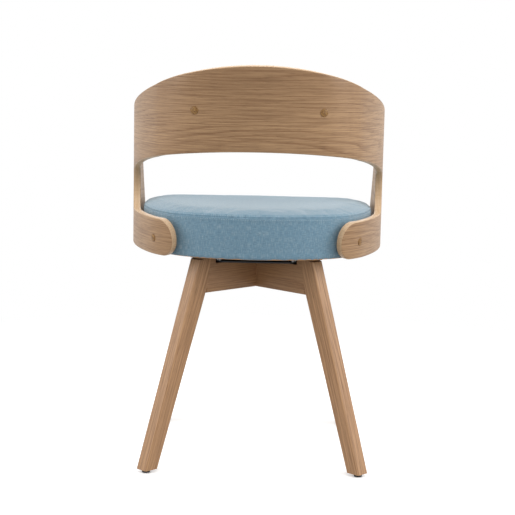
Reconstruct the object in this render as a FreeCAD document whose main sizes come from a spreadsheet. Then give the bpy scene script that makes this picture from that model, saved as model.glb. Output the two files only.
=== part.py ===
import FreeCAD, Part
import math
import os

import Sketcher
from FreeCAD import Base, Placement, Rotation, Vector

# Swivel dining chair: four splayed oak legs on two crossing rails, a ball race plate on the
# rails, and a round upholstered seat held in a bent plywood back. The floor is z = 0, the
# origin is under the swivel axis, the front of the chair faces -Y and +X is the sitter's left.

doc = FreeCAD.newDocument("swivel_dining_chair")
sheet = doc.addObject("Spreadsheet::Sheet", "sizes")

# Driving dimensions, in millimetres and degrees
SIZES = [
    ("foot_reach", 277.0, "leg centre line from the swivel axis, at the floor"),
    ("leg_top_reach", 141.0, "leg centre line from the swivel axis, at the leg's top"),
    ("leg_top", 389.5, "height of the leg's top end"),
    ("leg_width", 28.0, "leg and rail, across"),
    ("foot_depth", 29.6, "leg at the floor, along the rail"),
    ("leg_top_depth", 40.0, "leg at its top, along the rail"),
    ("leg_round", 4.0, "rounding of the leg's long edges"),
    ("rail_bottom", 324.0, "underside of the rails"),
    ("rail_seat", 378.0, "face of the rails that carries the swivel plate"),
    ("rail_top", 393.0, "top of the rail's end blocks"),
    ("rail_round", 1.5, "rounding of the rail's lower edges"),
    ("recess_reach", 122.0, "rail's recess for the plate, from the axis to its end"),
    ("joint_reach", 134.0, "top of the joint between rail and leg, from the axis"),
    ("slit_depth", 16.0, "shadow gap under the rail's tongue, along the rail"),
    ("slit_height", 2.4, "shadow gap at the leg's outer face"),
    ("dowel_diameter", 10.0, "leg dowels"),
    ("dowel_length", 48.0, "leg dowels"),
    ("dowel_start", 107.0, "inner end of the leg dowels, from the axis"),
    ("dowel_low", 342.0, "height of the lower dowel"),
    ("dowel_spacing", 26.0, "between the two dowels of a leg"),
    ("glide_diameter", 15.0, "foot glide"),
    ("glide_height", 6.0, "foot glide, below the leg"),
    ("glide_pin_diameter", 4.0, "pin of the foot glide"),
    ("glide_pin_length", 18.0, "pin of the foot glide, inside the leg"),
    ("fit", 0.05, "clearance of pins, screws and dowels in their holes"),
    ("lower_plate_side", 165.0, "lower swivel plate, square"),
    ("plate_thickness", 2.5, "both swivel plates"),
    ("plate_corner", 14.0, "corner radius of the lower plate"),
    ("upper_plate_side", 133.0, "upper swivel plate, square"),
    ("skirt_height", 14.0, "turned-down edge of the upper plate"),
    ("upper_corner", 12.0, "corner radius of the upper plate"),
    ("race_radius", 46.0, "ball circle"),
    ("race_width", 15.0, "race rings, across"),
    ("race_gap", 6.0, "between the two race rings"),
    ("race_height", 6.1, "one race ring"),
    ("ball_diameter", 8.0, "bearing balls"),
    ("ball_count", 20.0, "bearing balls"),
    ("ball_play", 0.05, "ball in its groove"),
    ("cage_thickness", 1.5, "ball cage"),
    ("cage_width", 13.0, "ball cage, across"),
    ("pin_diameter", 12.0, "kingpin"),
    ("pin_play", 0.05, "upper plate on the kingpin, on the radius"),
    ("pin_head_diameter", 24.0, "kingpin heads and washer"),
    ("pin_head_height", 3.0, "kingpin heads"),
    ("head_room", 1.0, "round the kingpin's foot, and above the bolts in their nuts"),
    ("washer_thickness", 1.0, "kingpin washer"),
    ("washer_play", 0.1, "above and below the kingpin washer"),
    ("plate_screw_reach", 99.0, "lower plate screws, from the axis"),
    ("screw_diameter", 4.5, "wood screws"),
    ("screw_head_diameter", 9.0, "wood screw heads"),
    ("screw_head_height", 2.6, "wood screw heads"),
    ("plate_screw_length", 30.0, "lower plate screws"),
    ("bolt_spacing", 106.0, "upper plate bolts, along X and along Y"),
    ("bolt_diameter", 6.0, "upper plate bolts"),
    ("bolt_head_diameter", 10.0, "upper plate bolts"),
    ("bolt_head_height", 3.5, "upper plate bolts"),
    ("nut_barrel", 8.0, "outside of the insert nuts"),
    ("nut_flange", 19.0, "flange of the insert nuts"),
    ("nut_flange_thickness", 1.2, "flange of the insert nuts"),
    ("board_hole", 38.0, "hole in the seat board over the kingpin"),
    ("dust_cover_thickness", 0.8, "cloth under the seat"),
    ("board_thickness", 15.0, "seat board"),
    ("back_half_width", 250.0, "outside of the bent back, from the middle plane"),
    ("back_rear", 190.0, "outside of the back at its foot, behind the axis"),
    ("back_widest", 128.0, "widest place of the back, in front of the axis"),
    ("back_lean", 58.0, "how far the back leans out at its top"),
    ("back_corner", 156.0, "outside radius of the back's rear corners"),
    ("rear_turn", 25.0, "angle that the rear arc turns through, to each side"),
    ("corner_turn", 65.0, "angle at which the corner arc ends"),
    ("ply", 14.0, "bent plywood"),
    ("ply_round", 2.5, "rounding of the plywood's edges"),
    ("back_bottom", 394.5, "lower edge of the back"),
    ("back_top", 747.5, "top of the back in the middle"),
    ("top_fall", 0.243, "slope of the top edge, per unit of girth"),
    ("top_bend", 774.5, "radius of the top edge in the middle, laid flat"),
    ("arm_girth", 447.0, "front end of the top edge, along the girth"),
    ("arm_round", 92.0, "rounding of the arm's end, laid flat"),
    ("front_girth", 545.0, "front end of the lower edge, along the girth"),
    ("front_round", 40.0, "rounding of the lower front corner, laid flat"),
    ("wing_girth", 166.0, "rear end of the wing, along the girth"),
    ("wing_top", 464.0, "upper edge of the wing"),
    ("wing_round_high", 43.0, "upper rounding of the wing's end, laid flat"),
    ("wing_round_low", 24.0, "lower rounding of the wing's end, laid flat"),
    ("window_girth", 425.0, "front end of the open window, along the girth"),
    ("window_top", 595.0, "lower edge of the back rest in the middle"),
    ("window_fall", 0.24, "slope of the back rest's lower edge at the window's end"),
    ("window_bend", 1640.0, "radius of the back rest's lower edge, laid flat"),
    ("window_round_low", 50.0, "lower rounding of the window, laid flat"),
    ("window_round_high", 28.0, "upper rounding of the window, laid flat"),
    ("cap_diameter", 15.0, "screw caps"),
    ("cap_proud", 2.0, "screw caps, outside the plywood"),
    ("cap_dome", 24.0, "radius of the cap's domed face"),
    ("cap_depth", 5.0, "screw caps, inside the plywood"),
    ("back_screw_length", 34.0, "screws through the back, under the head"),
    ("wing_screw_girth", 224.0, "wing screws, along the girth"),
    ("wing_screw_height", 425.5, "wing screws"),
    ("side_screw_girth", 472.0, "side screws, along the girth"),
    ("side_screw_height", 431.0, "side screws"),
    ("rest_screw_girth", 130.0, "back rest screws, along the girth"),
    ("rest_screw_height", 667.5, "back rest screws"),
    ("block_length", 46.0, "mounting blocks, along the girth"),
    ("block_depth", 34.0, "mounting blocks, inwards"),
    ("block_height", 30.0, "mounting blocks"),
    ("seat_gap", 3.0, "between the plywood and the seat, at the back's foot"),
    ("seat_bottom", 402.0, "underside of the seat board"),
    ("seat_front", 248.0, "front of the seat, in front of the axis"),
    ("seat_side_turn", 96.0, "angle at which the seat's side arc ends"),
    ("seat_front_turn", 170.0, "angle at which the seat's front corner ends"),
    ("seam_drop", 15.5, "seam between the seat's band and its top, under the crown"),
    ("seat_rim_height", 6.5, "batten under the edge of the seat board"),
    ("seat_rim_width", 18.0, "batten under the edge of the seat board"),
    ("block_set_in", 2.2, "mounting blocks, behind the side of the foam"),
    ("overrun", 5.0, "cutting shapes, past the faces that they cut"),
    ("bore_overrun", 10.0, "bores for the back's screws, past the faces that they cut"),
    ("seat_top", 488.0, "crown of the seat"),
    ("crown_radius", 3000.0, "curvature of the seat's top"),
    ("seat_tilt", 0.9, "fall of the seat's top and seam towards the front"),
    ("seat_shoulder", 8.0, "rounding between the seat's side and top"),
    ("seat_draw", 2.0, "how far the seat's band is drawn in at its seam and foot"),
    ("cover_thickness", 1.5, "upholstery cloth"),
    ("soft_gap", 0.3, "between soft and hard pieces"),
    ("pad_half_girth", 168.0, "back pad, along the girth to each side"),
    ("pad_bottom", 612.0, "lower edge of the back pad"),
    ("pad_top", 702.0, "upper edge of the back pad"),
    ("pad_round", 32.0, "corners of the back pad"),
    ("pad_board_thickness", 9.0, "board of the back pad"),
    ("pad_foam_thickness", 22.0, "foam of the back pad"),
    ("pad_crown", 11.0, "rounding of the back pad's front edge"),
]

for row, (alias, value, note) in enumerate(SIZES, start=1):
    sheet.set("A%d" % row, alias)
    sheet.set("B%d" % row, str(value))
    sheet.set("C%d" % row, note)
    sheet.setAlias("B%d" % row, alias)
doc.recompute()


def size(alias):
    return float(sheet.get(alias))


NEAR = 0.01  # two lengths closer than this, in millimetres, are taken for one


def same(a, b):
    return abs(a - b) < NEAR


parts = {}


def keep(label, obj):
    """Names an object as one of the chair's pieces."""
    obj.Label = label
    parts[label] = obj
    return obj


# Sketch and feature helpers

def new_body(label):
    body = doc.addObject("PartDesign::Body", label)
    return keep(label, body)


def sketch_on(body, name, role, offset="0"):
    """A sketch on one of the body's own origin planes, moved along the plane's normal."""
    plane = [f for f in body.Origin.OriginFeatures if f.Role == role][0]
    sketch = body.newObject("Sketcher::SketchObject", name)
    sketch.AttachmentSupport = [(plane, "")]
    sketch.MapMode = "FlatFace"
    sketch.setExpression("AttachmentOffset.Base.z", offset)
    return sketch


def place_point(sketch, geometry, vertex, x, y, name):
    """Holds a point of the sketch at a place given by two expressions."""
    for axis, value in (("X", x), ("Y", y)):
        index = sketch.addConstraint(
            Sketcher.Constraint("Distance" + axis, -1, 1, geometry, vertex, 1.0))
        sketch.renameConstraint(index, name + axis)
        sketch.setExpression("Constraints." + name + axis, value)


def polygon(sketch, corners):
    """A closed outline of straight lines through corners given as pairs of expressions."""
    count = len(corners)
    for i in range(count):
        here, there = (2 * math.pi * k / count for k in (i, i + 1))
        sketch.addGeometry(Part.LineSegment(
            Vector(math.cos(here), math.sin(here), 0), Vector(math.cos(there), math.sin(there), 0)))
    for i in range(count):
        sketch.addConstraint(Sketcher.Constraint("Coincident", i, 2, (i + 1) % count, 1))
    for i, (x, y) in enumerate(corners):
        place_point(sketch, i, 1, x, y, "corner%d" % i)


def circle(sketch, x, y, radius):
    index = sketch.addGeometry(Part.Circle(Vector(1, 1, 0), Vector(0, 0, 1), 1.0))
    place_point(sketch, index, 3, x, y, "centre%d" % index)
    constraint = sketch.addConstraint(Sketcher.Constraint("Radius", index, 1.0))
    sketch.renameConstraint(constraint, "radius%d" % index)
    sketch.setExpression("Constraints.radius%d" % index, radius)


def pad(body, sketch, length, midplane=False):
    feature = body.newObject("PartDesign::Pad", sketch.Name + "_pad")
    feature.Profile = sketch
    feature.Midplane = midplane
    feature.setExpression("Length", length)
    sketch.Visibility = False
    return feature


def pocket(body, sketch, length, along_normal=False):
    """Cuts against the sketch plane's normal, or along it."""
    feature = body.newObject("PartDesign::Pocket", sketch.Name + "_pocket")
    feature.Profile = sketch
    feature.Reversed = along_normal
    feature.setExpression("Length", length)
    return feature


def round_edges(body, base, radius, wanted):
    """Rounds the edges of a feature whose two end points pass the given test."""
    doc.recompute()
    names = []
    for i, edge in enumerate(base.Shape.Edges, start=1):
        ends = [v.Point for v in edge.Vertexes]
        if len(ends) == 2 and wanted(ends[0], ends[1]):
            names.append("Edge%d" % i)
    feature = body.newObject("PartDesign::Fillet", base.Name + "_round")
    feature.Base = (base, names)
    feature.setExpression("Radius", radius)
    return feature


def cylinder(name, radius, height, placement):
    obj = doc.addObject("Part::Cylinder", name)
    obj.setExpression("Radius", radius)
    obj.setExpression("Height", height)
    obj.Placement = placement
    return obj


def fuse(name, pieces):
    obj = doc.addObject("Part::MultiFuse", name)
    obj.Shapes = pieces
    return obj


def cut(name, base, tool):
    obj = doc.addObject("Part::Cut", name)
    obj.Base = base
    obj.Tool = tool
    return obj


def group(label, pieces):
    """Separate solids that share one named piece."""
    obj = doc.addObject("Part::Compound", label)
    obj.Links = pieces
    return keep(label, obj)


def raised(z, x=0.0, y=0.0):
    return Placement(Vector(x, y, z), Rotation())


def turned(angle):
    return Placement(Vector(0, 0, 0), Rotation(Vector(0, 0, 1), angle))


# Legs, in their own frame: X runs outwards along the rail, Z is up


def leg_face(side, height):
    """Expression for the leg's inner (-1) or outer (+1) face at a height."""
    foot = "(sizes.foot_reach + %d * sizes.foot_depth / 2)" % side
    top = "(sizes.leg_top_reach + %d * sizes.leg_top_depth / 2)" % side
    return "%s + (%s) / sizes.leg_top * (%s - %s)" % (foot, height, top, foot)


SLIT_LEVEL = "sizes.leg_top - sizes.slit_height"
DOWEL_LEVELS = ("sizes.dowel_low", "sizes.dowel_low + sizes.dowel_spacing")
LEG_ANGLES = {"leg_rear_left": 45, "leg_rear_right": 135, "leg_front_right": 225, "leg_front_left": 315}


def build_leg(label, angle):
    body = new_body(label)
    outline = sketch_on(body, label + "_side", "XZ_Plane")
    polygon(outline, [
        (leg_face(-1, "sizes.glide_height"), "sizes.glide_height"),
        (leg_face(1, "sizes.glide_height"), "sizes.glide_height"),
        (leg_face(1, SLIT_LEVEL), SLIT_LEVEL),
        (leg_face(1, "sizes.leg_top") + " - sizes.slit_depth", "sizes.leg_top"),
        ("sizes.joint_reach", "sizes.leg_top"),
        (leg_face(-1, "sizes.rail_bottom"), "sizes.rail_bottom"),
    ])
    block = pad(body, outline, "sizes.leg_width", midplane=True)
    span = size("rail_bottom") / 2

    def long_edge(a, b):
        return abs(a.z - b.z) > span

    round_edges(body, block, "sizes.leg_round", long_edge)
    dowels = sketch_on(body, label + "_dowel_holes", "YZ_Plane", "sizes.dowel_start")
    for level in DOWEL_LEVELS:
        circle(dowels, "0", level, "sizes.dowel_diameter / 2 + sizes.fit")
    pocket(body, dowels, "sizes.dowel_length", along_normal=True)
    pin = sketch_on(body, label + "_glide_hole", "XY_Plane", "sizes.glide_height")
    circle(pin, leg_face(1, "0") + " - sizes.foot_depth / 2", "0",
           "sizes.glide_pin_diameter / 2 + sizes.fit")
    pocket(body, pin, "sizes.glide_pin_length + sizes.fit", along_normal=True)
    body.Placement = turned(angle)


for label, angle in LEG_ANGLES.items():
    build_leg(label, angle)

# Crossing rails, half-lapped at the middle

LAP_LEVEL = "(sizes.rail_bottom + sizes.rail_seat) / 2"


def build_rail(label, angle, lap_from_top):
    body = new_body(label)
    outline = sketch_on(body, label + "_side", "XZ_Plane")
    half = [
        (leg_face(-1, "sizes.rail_bottom"), "sizes.rail_bottom"),
        ("sizes.joint_reach", "sizes.leg_top"),
        (leg_face(1, "sizes.leg_top"), "sizes.leg_top"),
        (leg_face(1, "sizes.rail_top"), "sizes.rail_top"),
        ("sizes.recess_reach", "sizes.rail_top"),
        ("sizes.recess_reach", "sizes.rail_seat"),
    ]
    other = [("-(%s)" % x, z) for x, z in reversed(half)]
    polygon(outline, half + other)
    block = pad(body, outline, "sizes.leg_width", midplane=True)
    bottom = size("rail_bottom")

    def lower_edge(a, b):
        return same(a.z, bottom) and same(b.z, bottom) and same(a.y, b.y)

    round_edges(body, block, "sizes.rail_round", lower_edge)
    level = LAP_LEVEL if lap_from_top else "sizes.rail_bottom"
    lap = sketch_on(body, label + "_lap", "XY_Plane", level)
    side = "(sizes.leg_width / 2 + sizes.fit)"
    polygon(lap, [("-" + side, "-" + side), (side, "-" + side), (side, side), ("-" + side, side)])
    pocket(body, lap, "(sizes.rail_seat - sizes.rail_bottom) / 2", along_normal=True)
    for sign, word in ((1, "out"), (-1, "back")):
        dowels = sketch_on(body, label + "_dowel_holes_" + word, "YZ_Plane",
                           "%d * sizes.dowel_start" % sign)
        for dowel_level in DOWEL_LEVELS:
            circle(dowels, "0", dowel_level, "sizes.dowel_diameter / 2 + sizes.fit")
        pocket(body, dowels, "sizes.dowel_length", along_normal=sign > 0)
    screws = sketch_on(body, label + "_screw_holes", "XY_Plane", "sizes.rail_seat")
    for sign in (1, -1):
        circle(screws, "%d * sizes.plate_screw_reach" % sign, "0", "sizes.screw_diameter / 2 + sizes.fit")
    pocket(body, screws, "sizes.plate_screw_length - sizes.plate_thickness + sizes.fit")
    if not lap_from_top:
        head = sketch_on(body, label + "_pin_recess", "XY_Plane", "sizes.rail_seat")
        circle(head, "0", "0", "sizes.pin_head_diameter / 2 + sizes.head_room")
        pocket(body, head, "sizes.pin_head_height + sizes.head_room")
    body.Placement = turned(angle)


build_rail("cross_rail_lower", 45, True)
build_rail("cross_rail_upper", 135, False)

# Dowels and foot glides

dowels = []
for angle in LEG_ANGLES.values():
    for level in ("low", "high"):
        height = size("dowel_low") + (size("dowel_spacing") if level == "high" else 0)
        level_line = Placement(Vector(size("dowel_start"), 0, height), Rotation(Vector(0, 1, 0), 90))
        dowels.append(cylinder("dowel_%d_%s" % (angle, level), "sizes.dowel_diameter / 2",
                               "sizes.dowel_length", turned(angle) * level_line))
group("leg_dowels", dowels)

for label, angle in LEG_ANGLES.items():
    foot = turned(angle) * raised(0, size("foot_reach"))
    disc = cylinder(label + "_glide_disc", "sizes.glide_diameter / 2", "sizes.glide_height", foot)
    pin = cylinder(label + "_glide_pin", "sizes.glide_pin_diameter / 2",
                   "sizes.glide_height + sizes.glide_pin_length", foot)
    keep(label.replace("leg_", "glide_"), fuse(label + "_glide", [disc, pin]))

# Swivel: two pressed plates, two race rings, balls in a cage and a riveted kingpin

plate_low = size("rail_seat")
plate_face = plate_low + size("plate_thickness")
upper_under = plate_face + 2 * size("race_height") + size("race_gap")
upper_face = upper_under + size("plate_thickness")
PLATE_FACE = "sizes.rail_seat + sizes.plate_thickness"
UPPER_UNDER = PLATE_FACE + " + 2 * sizes.race_height + sizes.race_gap"
UPPER_FACE = UPPER_UNDER + " + sizes.plate_thickness"


def square(sketch, side):
    half = "(%s) / 2" % side
    minus = "-(%s) / 2" % side
    polygon(sketch, [(minus, minus), (half, minus), (half, half), (minus, half)])


def upright(a, b):
    return same(a.x, b.x) and same(a.y, b.y)


def build_lower_plate():
    body = new_body("swivel_lower_plate")
    outline = sketch_on(body, "lower_plate_outline", "XY_Plane", "sizes.rail_seat")
    square(outline, "sizes.lower_plate_side")
    blank = pad(body, outline, "sizes.plate_thickness")
    round_edges(body, blank, "sizes.plate_corner", upright)
    holes = sketch_on(body, "lower_plate_holes", "XY_Plane", "sizes.rail_seat")
    for x in (1, -1):
        for y in (1, -1):
            circle(holes, "%d * sizes.plate_screw_reach / sqrt(2)" % x,
                   "%d * sizes.plate_screw_reach / sqrt(2)" % y, "sizes.screw_diameter / 2 + sizes.fit")
    circle(holes, "0", "0", "sizes.pin_diameter / 2 + sizes.fit")
    pocket(body, holes, "sizes.plate_thickness", along_normal=True)


def build_upper_plate():
    body = new_body("swivel_upper_plate")
    outline = sketch_on(body, "upper_plate_outline", "XY_Plane", UPPER_UNDER + " - sizes.skirt_height")
    square(outline, "sizes.upper_plate_side")
    blank = pad(body, outline, "sizes.skirt_height + sizes.plate_thickness")
    round_edges(body, blank, "sizes.upper_corner", upright)
    hollow = sketch_on(body, "upper_plate_hollow", "XY_Plane", UPPER_UNDER + " - sizes.skirt_height")
    square(hollow, "sizes.upper_plate_side - 2 * sizes.plate_thickness")
    pocket(body, hollow, "sizes.skirt_height", along_normal=True)
    holes = sketch_on(body, "upper_plate_holes", "XY_Plane", UPPER_UNDER)
    for x in (1, -1):
        for y in (1, -1):
            circle(holes, "%d * sizes.bolt_spacing / 2" % x, "%d * sizes.bolt_spacing / 2" % y,
                   "sizes.bolt_diameter / 2 + sizes.fit")
    circle(holes, "0", "0", "sizes.pin_diameter / 2 + sizes.pin_play")
    pocket(body, holes, "sizes.plate_thickness", along_normal=True)


build_lower_plate()
build_upper_plate()

ball_level = plate_face + size("race_height") + size("race_gap") / 2


def build_race(label, base_level):
    ring = cylinder(label + "_blank", "sizes.race_radius + sizes.race_width / 2", "sizes.race_height",
                    raised(base_level))
    bore = cylinder(label + "_bore", "sizes.race_radius - sizes.race_width / 2", "sizes.race_height",
                    raised(base_level))
    groove = doc.addObject("Part::Torus", label + "_groove")
    groove.setExpression("Radius1", "sizes.race_radius")
    groove.setExpression("Radius2", "sizes.ball_diameter / 2 + sizes.ball_play")
    groove.Placement = raised(ball_level)
    keep(label, cut(label, cut(label + "_ring", ring, bore), groove))


build_race("race_ring_lower", plate_face)
build_race("race_ring_upper", upper_under - size("race_height"))

balls = []
pockets = []
ball_count = int(size("ball_count"))
for i in range(ball_count):
    spot = turned(360.0 * i / ball_count) * raised(ball_level, size("race_radius"))
    ball = doc.addObject("Part::Sphere", "ball_%d" % i)
    ball.setExpression("Radius", "sizes.ball_diameter / 2")
    ball.Placement = spot
    balls.append(ball)
    hole = doc.addObject("Part::Sphere", "ball_pocket_%d" % i)
    hole.setExpression("Radius", "sizes.ball_diameter / 2 + sizes.ball_play")
    hole.Placement = spot
    pockets.append(hole)
group("bearing_balls", balls)

cage_level = ball_level - size("cage_thickness") / 2
cage_blank = cylinder("cage_blank", "sizes.race_radius + sizes.cage_width / 2", "sizes.cage_thickness",
                      raised(cage_level))
cage_bore = cylinder("cage_bore", "sizes.race_radius - sizes.cage_width / 2", "sizes.cage_thickness",
                     raised(cage_level))
cage_ring = cut("cage_ring", cage_blank, cage_bore)
keep("ball_cage", cut("ball_cage", cage_ring, fuse("cage_pockets", pockets)))

pin_foot = cylinder("kingpin_foot", "sizes.pin_head_diameter / 2", "sizes.pin_head_height",
                    raised(plate_low - size("pin_head_height")))
pin_shaft = cylinder("kingpin_shaft", "sizes.pin_diameter / 2",
                     UPPER_FACE + " - sizes.rail_seat + sizes.washer_thickness + 2 * sizes.washer_play",
                     raised(plate_low))
washer_level = upper_face + size("washer_play")
head_level = washer_level + size("washer_thickness") + size("washer_play")
pin_head = cylinder("kingpin_top", "sizes.pin_head_diameter / 2", "sizes.pin_head_height",
                    raised(head_level))
keep("kingpin", fuse("kingpin", [pin_foot, pin_shaft, pin_head]))
washer_disc = cylinder("washer_disc", "sizes.pin_head_diameter / 2", "sizes.washer_thickness",
                       raised(washer_level))
washer_hole = cylinder("washer_hole", "sizes.pin_diameter / 2 + sizes.pin_play", "sizes.washer_thickness",
                       raised(washer_level))
keep("kingpin_washer", cut("kingpin_washer", washer_disc, washer_hole))

plate_screws = []
for angle in LEG_ANGLES.values():
    spot = turned(angle) * raised(plate_face, size("plate_screw_reach"))
    head = cylinder("plate_screw_head_%d" % angle, "sizes.screw_head_diameter / 2",
                    "sizes.screw_head_height", spot)
    shank = cylinder("plate_screw_shank_%d" % angle, "sizes.screw_diameter / 2", "sizes.plate_screw_length",
                     spot * raised(-size("plate_screw_length")))
    plate_screws.append(fuse("plate_screw_%d" % angle, [head, shank]))
group("lower_plate_screws", plate_screws)

# Seat bottom level and fasteners between the upper plate and the seat board

board_low = size("seat_bottom")
board_face = board_low + size("board_thickness")
bolt_reach = size("bolt_spacing") / 2
BOLT_SPOTS = [(x * bolt_reach, y * bolt_reach) for x in (1, -1) for y in (1, -1)]
bolts = []
nuts = []
for i, (x, y) in enumerate(BOLT_SPOTS):
    head = cylinder("bolt_head_%d" % i, "sizes.bolt_head_diameter / 2", "sizes.bolt_head_height",
                    raised(upper_under - size("bolt_head_height"), x, y))
    shank = cylinder("bolt_shank_%d" % i, "sizes.bolt_diameter / 2",
                     "sizes.seat_bottom + sizes.board_thickness - sizes.head_room - (%s)" % UPPER_UNDER,
                     raised(upper_under, x, y))
    bolts.append(fuse("bolt_%d" % i, [head, shank]))
    barrel = cylinder("nut_barrel_%d" % i, "sizes.nut_barrel / 2", "sizes.board_thickness",
                      raised(board_low, x, y))
    flange = cylinder("nut_flange_%d" % i, "sizes.nut_flange / 2", "sizes.nut_flange_thickness",
                      raised(board_face - size("nut_flange_thickness"), x, y))
    bore = cylinder("nut_bore_%d" % i, "sizes.bolt_diameter / 2 + sizes.fit", "sizes.board_thickness",
                    raised(board_low, x, y))
    nuts.append(cut("nut_%d" % i, fuse("nut_blank_%d" % i, [barrel, flange]), bore))
group("upper_plate_bolts", bolts)
group("seat_insert_nuts", nuts)

# Bent plywood back: a sheet whose plan is a chain of tangent arcs. Heights share the same
# turning angles, so the sheet is developable, and its outline is drawn laid flat, as
# girth (from the middle of the back) against height.

REAR_TURN = math.radians(size("rear_turn"))
CORNER_TURN = math.radians(size("corner_turn"))


def arc_radii(half_width, depth, corner):
    """Rear and side radius of a plan with the given half width, depth and corner radius."""
    s1, c1 = math.sin(REAR_TURN), math.cos(REAR_TURN)
    s2, c2 = math.sin(CORNER_TURN), math.cos(CORNER_TURN)
    width_left = half_width - corner * (s2 - s1)
    depth_left = depth - corner * (c1 - c2)
    scale = s1 * c2 - (1 - s2) * (1 - c1)
    rear = (width_left * c2 - depth_left * (1 - s2)) / scale
    side = (depth_left * s1 - width_left * (1 - c1)) / scale
    return rear, side


FOOT_DEPTH = size("back_rear") + size("back_widest")
FOOT_REAR, FOOT_SIDE = arc_radii(size("back_half_width"), FOOT_DEPTH, size("back_corner"))
TOP_REAR, TOP_SIDE = arc_radii(size("back_half_width"), FOOT_DEPTH + size("back_lean"), size("back_corner"))


def plan_point(turn, rear_radius, corner_radius, side_radius, start):
    """Point of a chain of arcs where its outward normal has turned from +Y by an angle."""
    angle = abs(turn)
    first = min(angle, REAR_TURN)
    x = rear_radius * math.sin(first)
    y = start - rear_radius * (1 - math.cos(first))
    if angle > REAR_TURN:
        second = min(angle, CORNER_TURN)
        x += corner_radius * (math.sin(second) - math.sin(REAR_TURN))
        y -= corner_radius * (math.cos(REAR_TURN) - math.cos(second))
    if angle > CORNER_TURN:
        x += side_radius * (math.sin(angle) - math.sin(CORNER_TURN))
        y -= side_radius * (math.cos(CORNER_TURN) - math.cos(angle))
    return Vector(math.copysign(x, turn), y, 0)


def turn_at(girth):
    """Turning angle at a girth measured along the back's foot."""
    length = abs(girth)
    rear_end = FOOT_REAR * REAR_TURN
    corner_end = rear_end + size("back_corner") * (CORNER_TURN - REAR_TURN)
    if length <= rear_end:
        turn = length / FOOT_REAR
    elif length <= corner_end:
        turn = REAR_TURN + (length - rear_end) / size("back_corner")
    else:
        turn = CORNER_TURN + (length - corner_end) / FOOT_SIDE
    return math.copysign(turn, girth)


def back_frame(girth, height):
    """Point on the back's outer face and the unit normal that points inwards."""
    turn = turn_at(girth)
    rise = (height - size("back_bottom")) / (size("back_top") - size("back_bottom"))
    foot = plan_point(turn, FOOT_REAR, size("back_corner"), FOOT_SIDE, size("back_rear"))
    top = plan_point(turn, TOP_REAR, size("back_corner"), TOP_SIDE, size("back_rear") + size("back_lean"))
    point = foot + (top - foot) * rise
    point.z = height
    flat = Vector(-math.sin(turn), -math.cos(turn), 0)
    lean = math.atan2(-(top - foot).dot(flat), size("back_top") - size("back_bottom"))
    return point, flat * math.cos(lean) + Vector(0, 0, math.sin(lean))


GIRTH_END = size("front_girth") + 40
SHEET_LOW = size("back_bottom") - 15
SHEET_HIGH = size("back_top") + 15


def girth_stations():
    """Girths through which the sheet's surface is drawn, with one at each change of radius."""
    rear_end = FOOT_REAR * REAR_TURN
    corner_end = rear_end + size("back_corner") * (CORNER_TURN - REAR_TURN)
    half = []
    for start, end, steps in ((0, rear_end, 8), (rear_end, corner_end, 8), (corner_end, GIRTH_END, 16)):
        half += [start + (end - start) * i / steps for i in range(steps)]
    half.append(GIRTH_END)
    return [-g for g in reversed(half[1:])] + half


def sheet_surface(depth):
    """The back's surface at a depth under its outer face, with girth and height as U and V."""
    rails = []
    stations = girth_stations()
    for height in (SHEET_LOW, SHEET_HIGH):
        points = []
        for girth in stations:
            point, inward = back_frame(girth, height)
            points.append(point + inward * depth)
        curve = Part.BSplineCurve()
        curve.interpolate(Points=points, Parameters=stations)
        rails.append(curve.toShape())
    surface = Part.makeRuledSurface(rails[0], rails[1]).Faces[0].Surface
    surface.scaleKnotsToBounds(-GIRTH_END, GIRTH_END, SHEET_LOW, SHEET_HIGH)
    return surface


def rounded_outline(corners):
    """Flat outline of tangent lines and arcs through corners given as girth, height, radius."""
    count = len(corners)
    rounds = []
    for i, (x, y, radius) in enumerate(corners):
        corner = Vector(x, y, 0)
        before = Vector(corners[i - 1][0], corners[i - 1][1], 0) - corner
        after = Vector(corners[(i + 1) % count][0], corners[(i + 1) % count][1], 0) - corner
        before.normalize()
        after.normalize()
        half_angle = before.getAngle(after) / 2
        reach = radius / math.tan(half_angle)
        middle = corner + (before + after).normalize() * (radius / math.sin(half_angle) - radius)
        rounds.append((corner + before * reach, middle, corner + after * reach))
    curves = []
    for i, (start, middle, end) in enumerate(rounds):
        flat = [Base.Vector2d(p.x, p.y) for p in (start, middle, end)]
        curves.append(Part.Geom2d.ArcOfCircle2d(*flat))
        following = rounds[(i + 1) % count][0]
        curves.append(Part.Geom2d.Line2dSegment(flat[2], Base.Vector2d(following.x, following.y)))
    return curves


def bent_panel(corners, outer_depth, inner_depth, inside):
    """A panel cut from the bent sheet between two depths; inside is a point within it."""
    curves = rounded_outline(corners)
    faces = []
    borders = []
    for depth in (outer_depth, inner_depth):
        surface = sheet_surface(depth)
        edges = [curve.toShape(surface) for curve in curves]
        pieces = surface.toShape().generalFuse([Part.Wire(edges)], 0.001)[0]
        faces += [face for face in pieces.Faces if face.isPartOfDomain(*inside)]
        borders.append(edges)
    faces += [Part.makeRuledSurface(outer, inner) for outer, inner in zip(*borders)]
    skin = Part.Compound(faces)
    skin.sewShape(NEAR)
    return Part.Solid(skin.Shells[0]).removeSplitter()


def broad_faces(solid):
    return sorted(solid.Faces, key=lambda face: -face.Area)[:2]


def apex_rise(fall, radius):
    """How far two lines of a given slope meet above an arc that joins them."""
    return radius * (1 / math.cos(math.atan(fall)) - 1)


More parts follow.
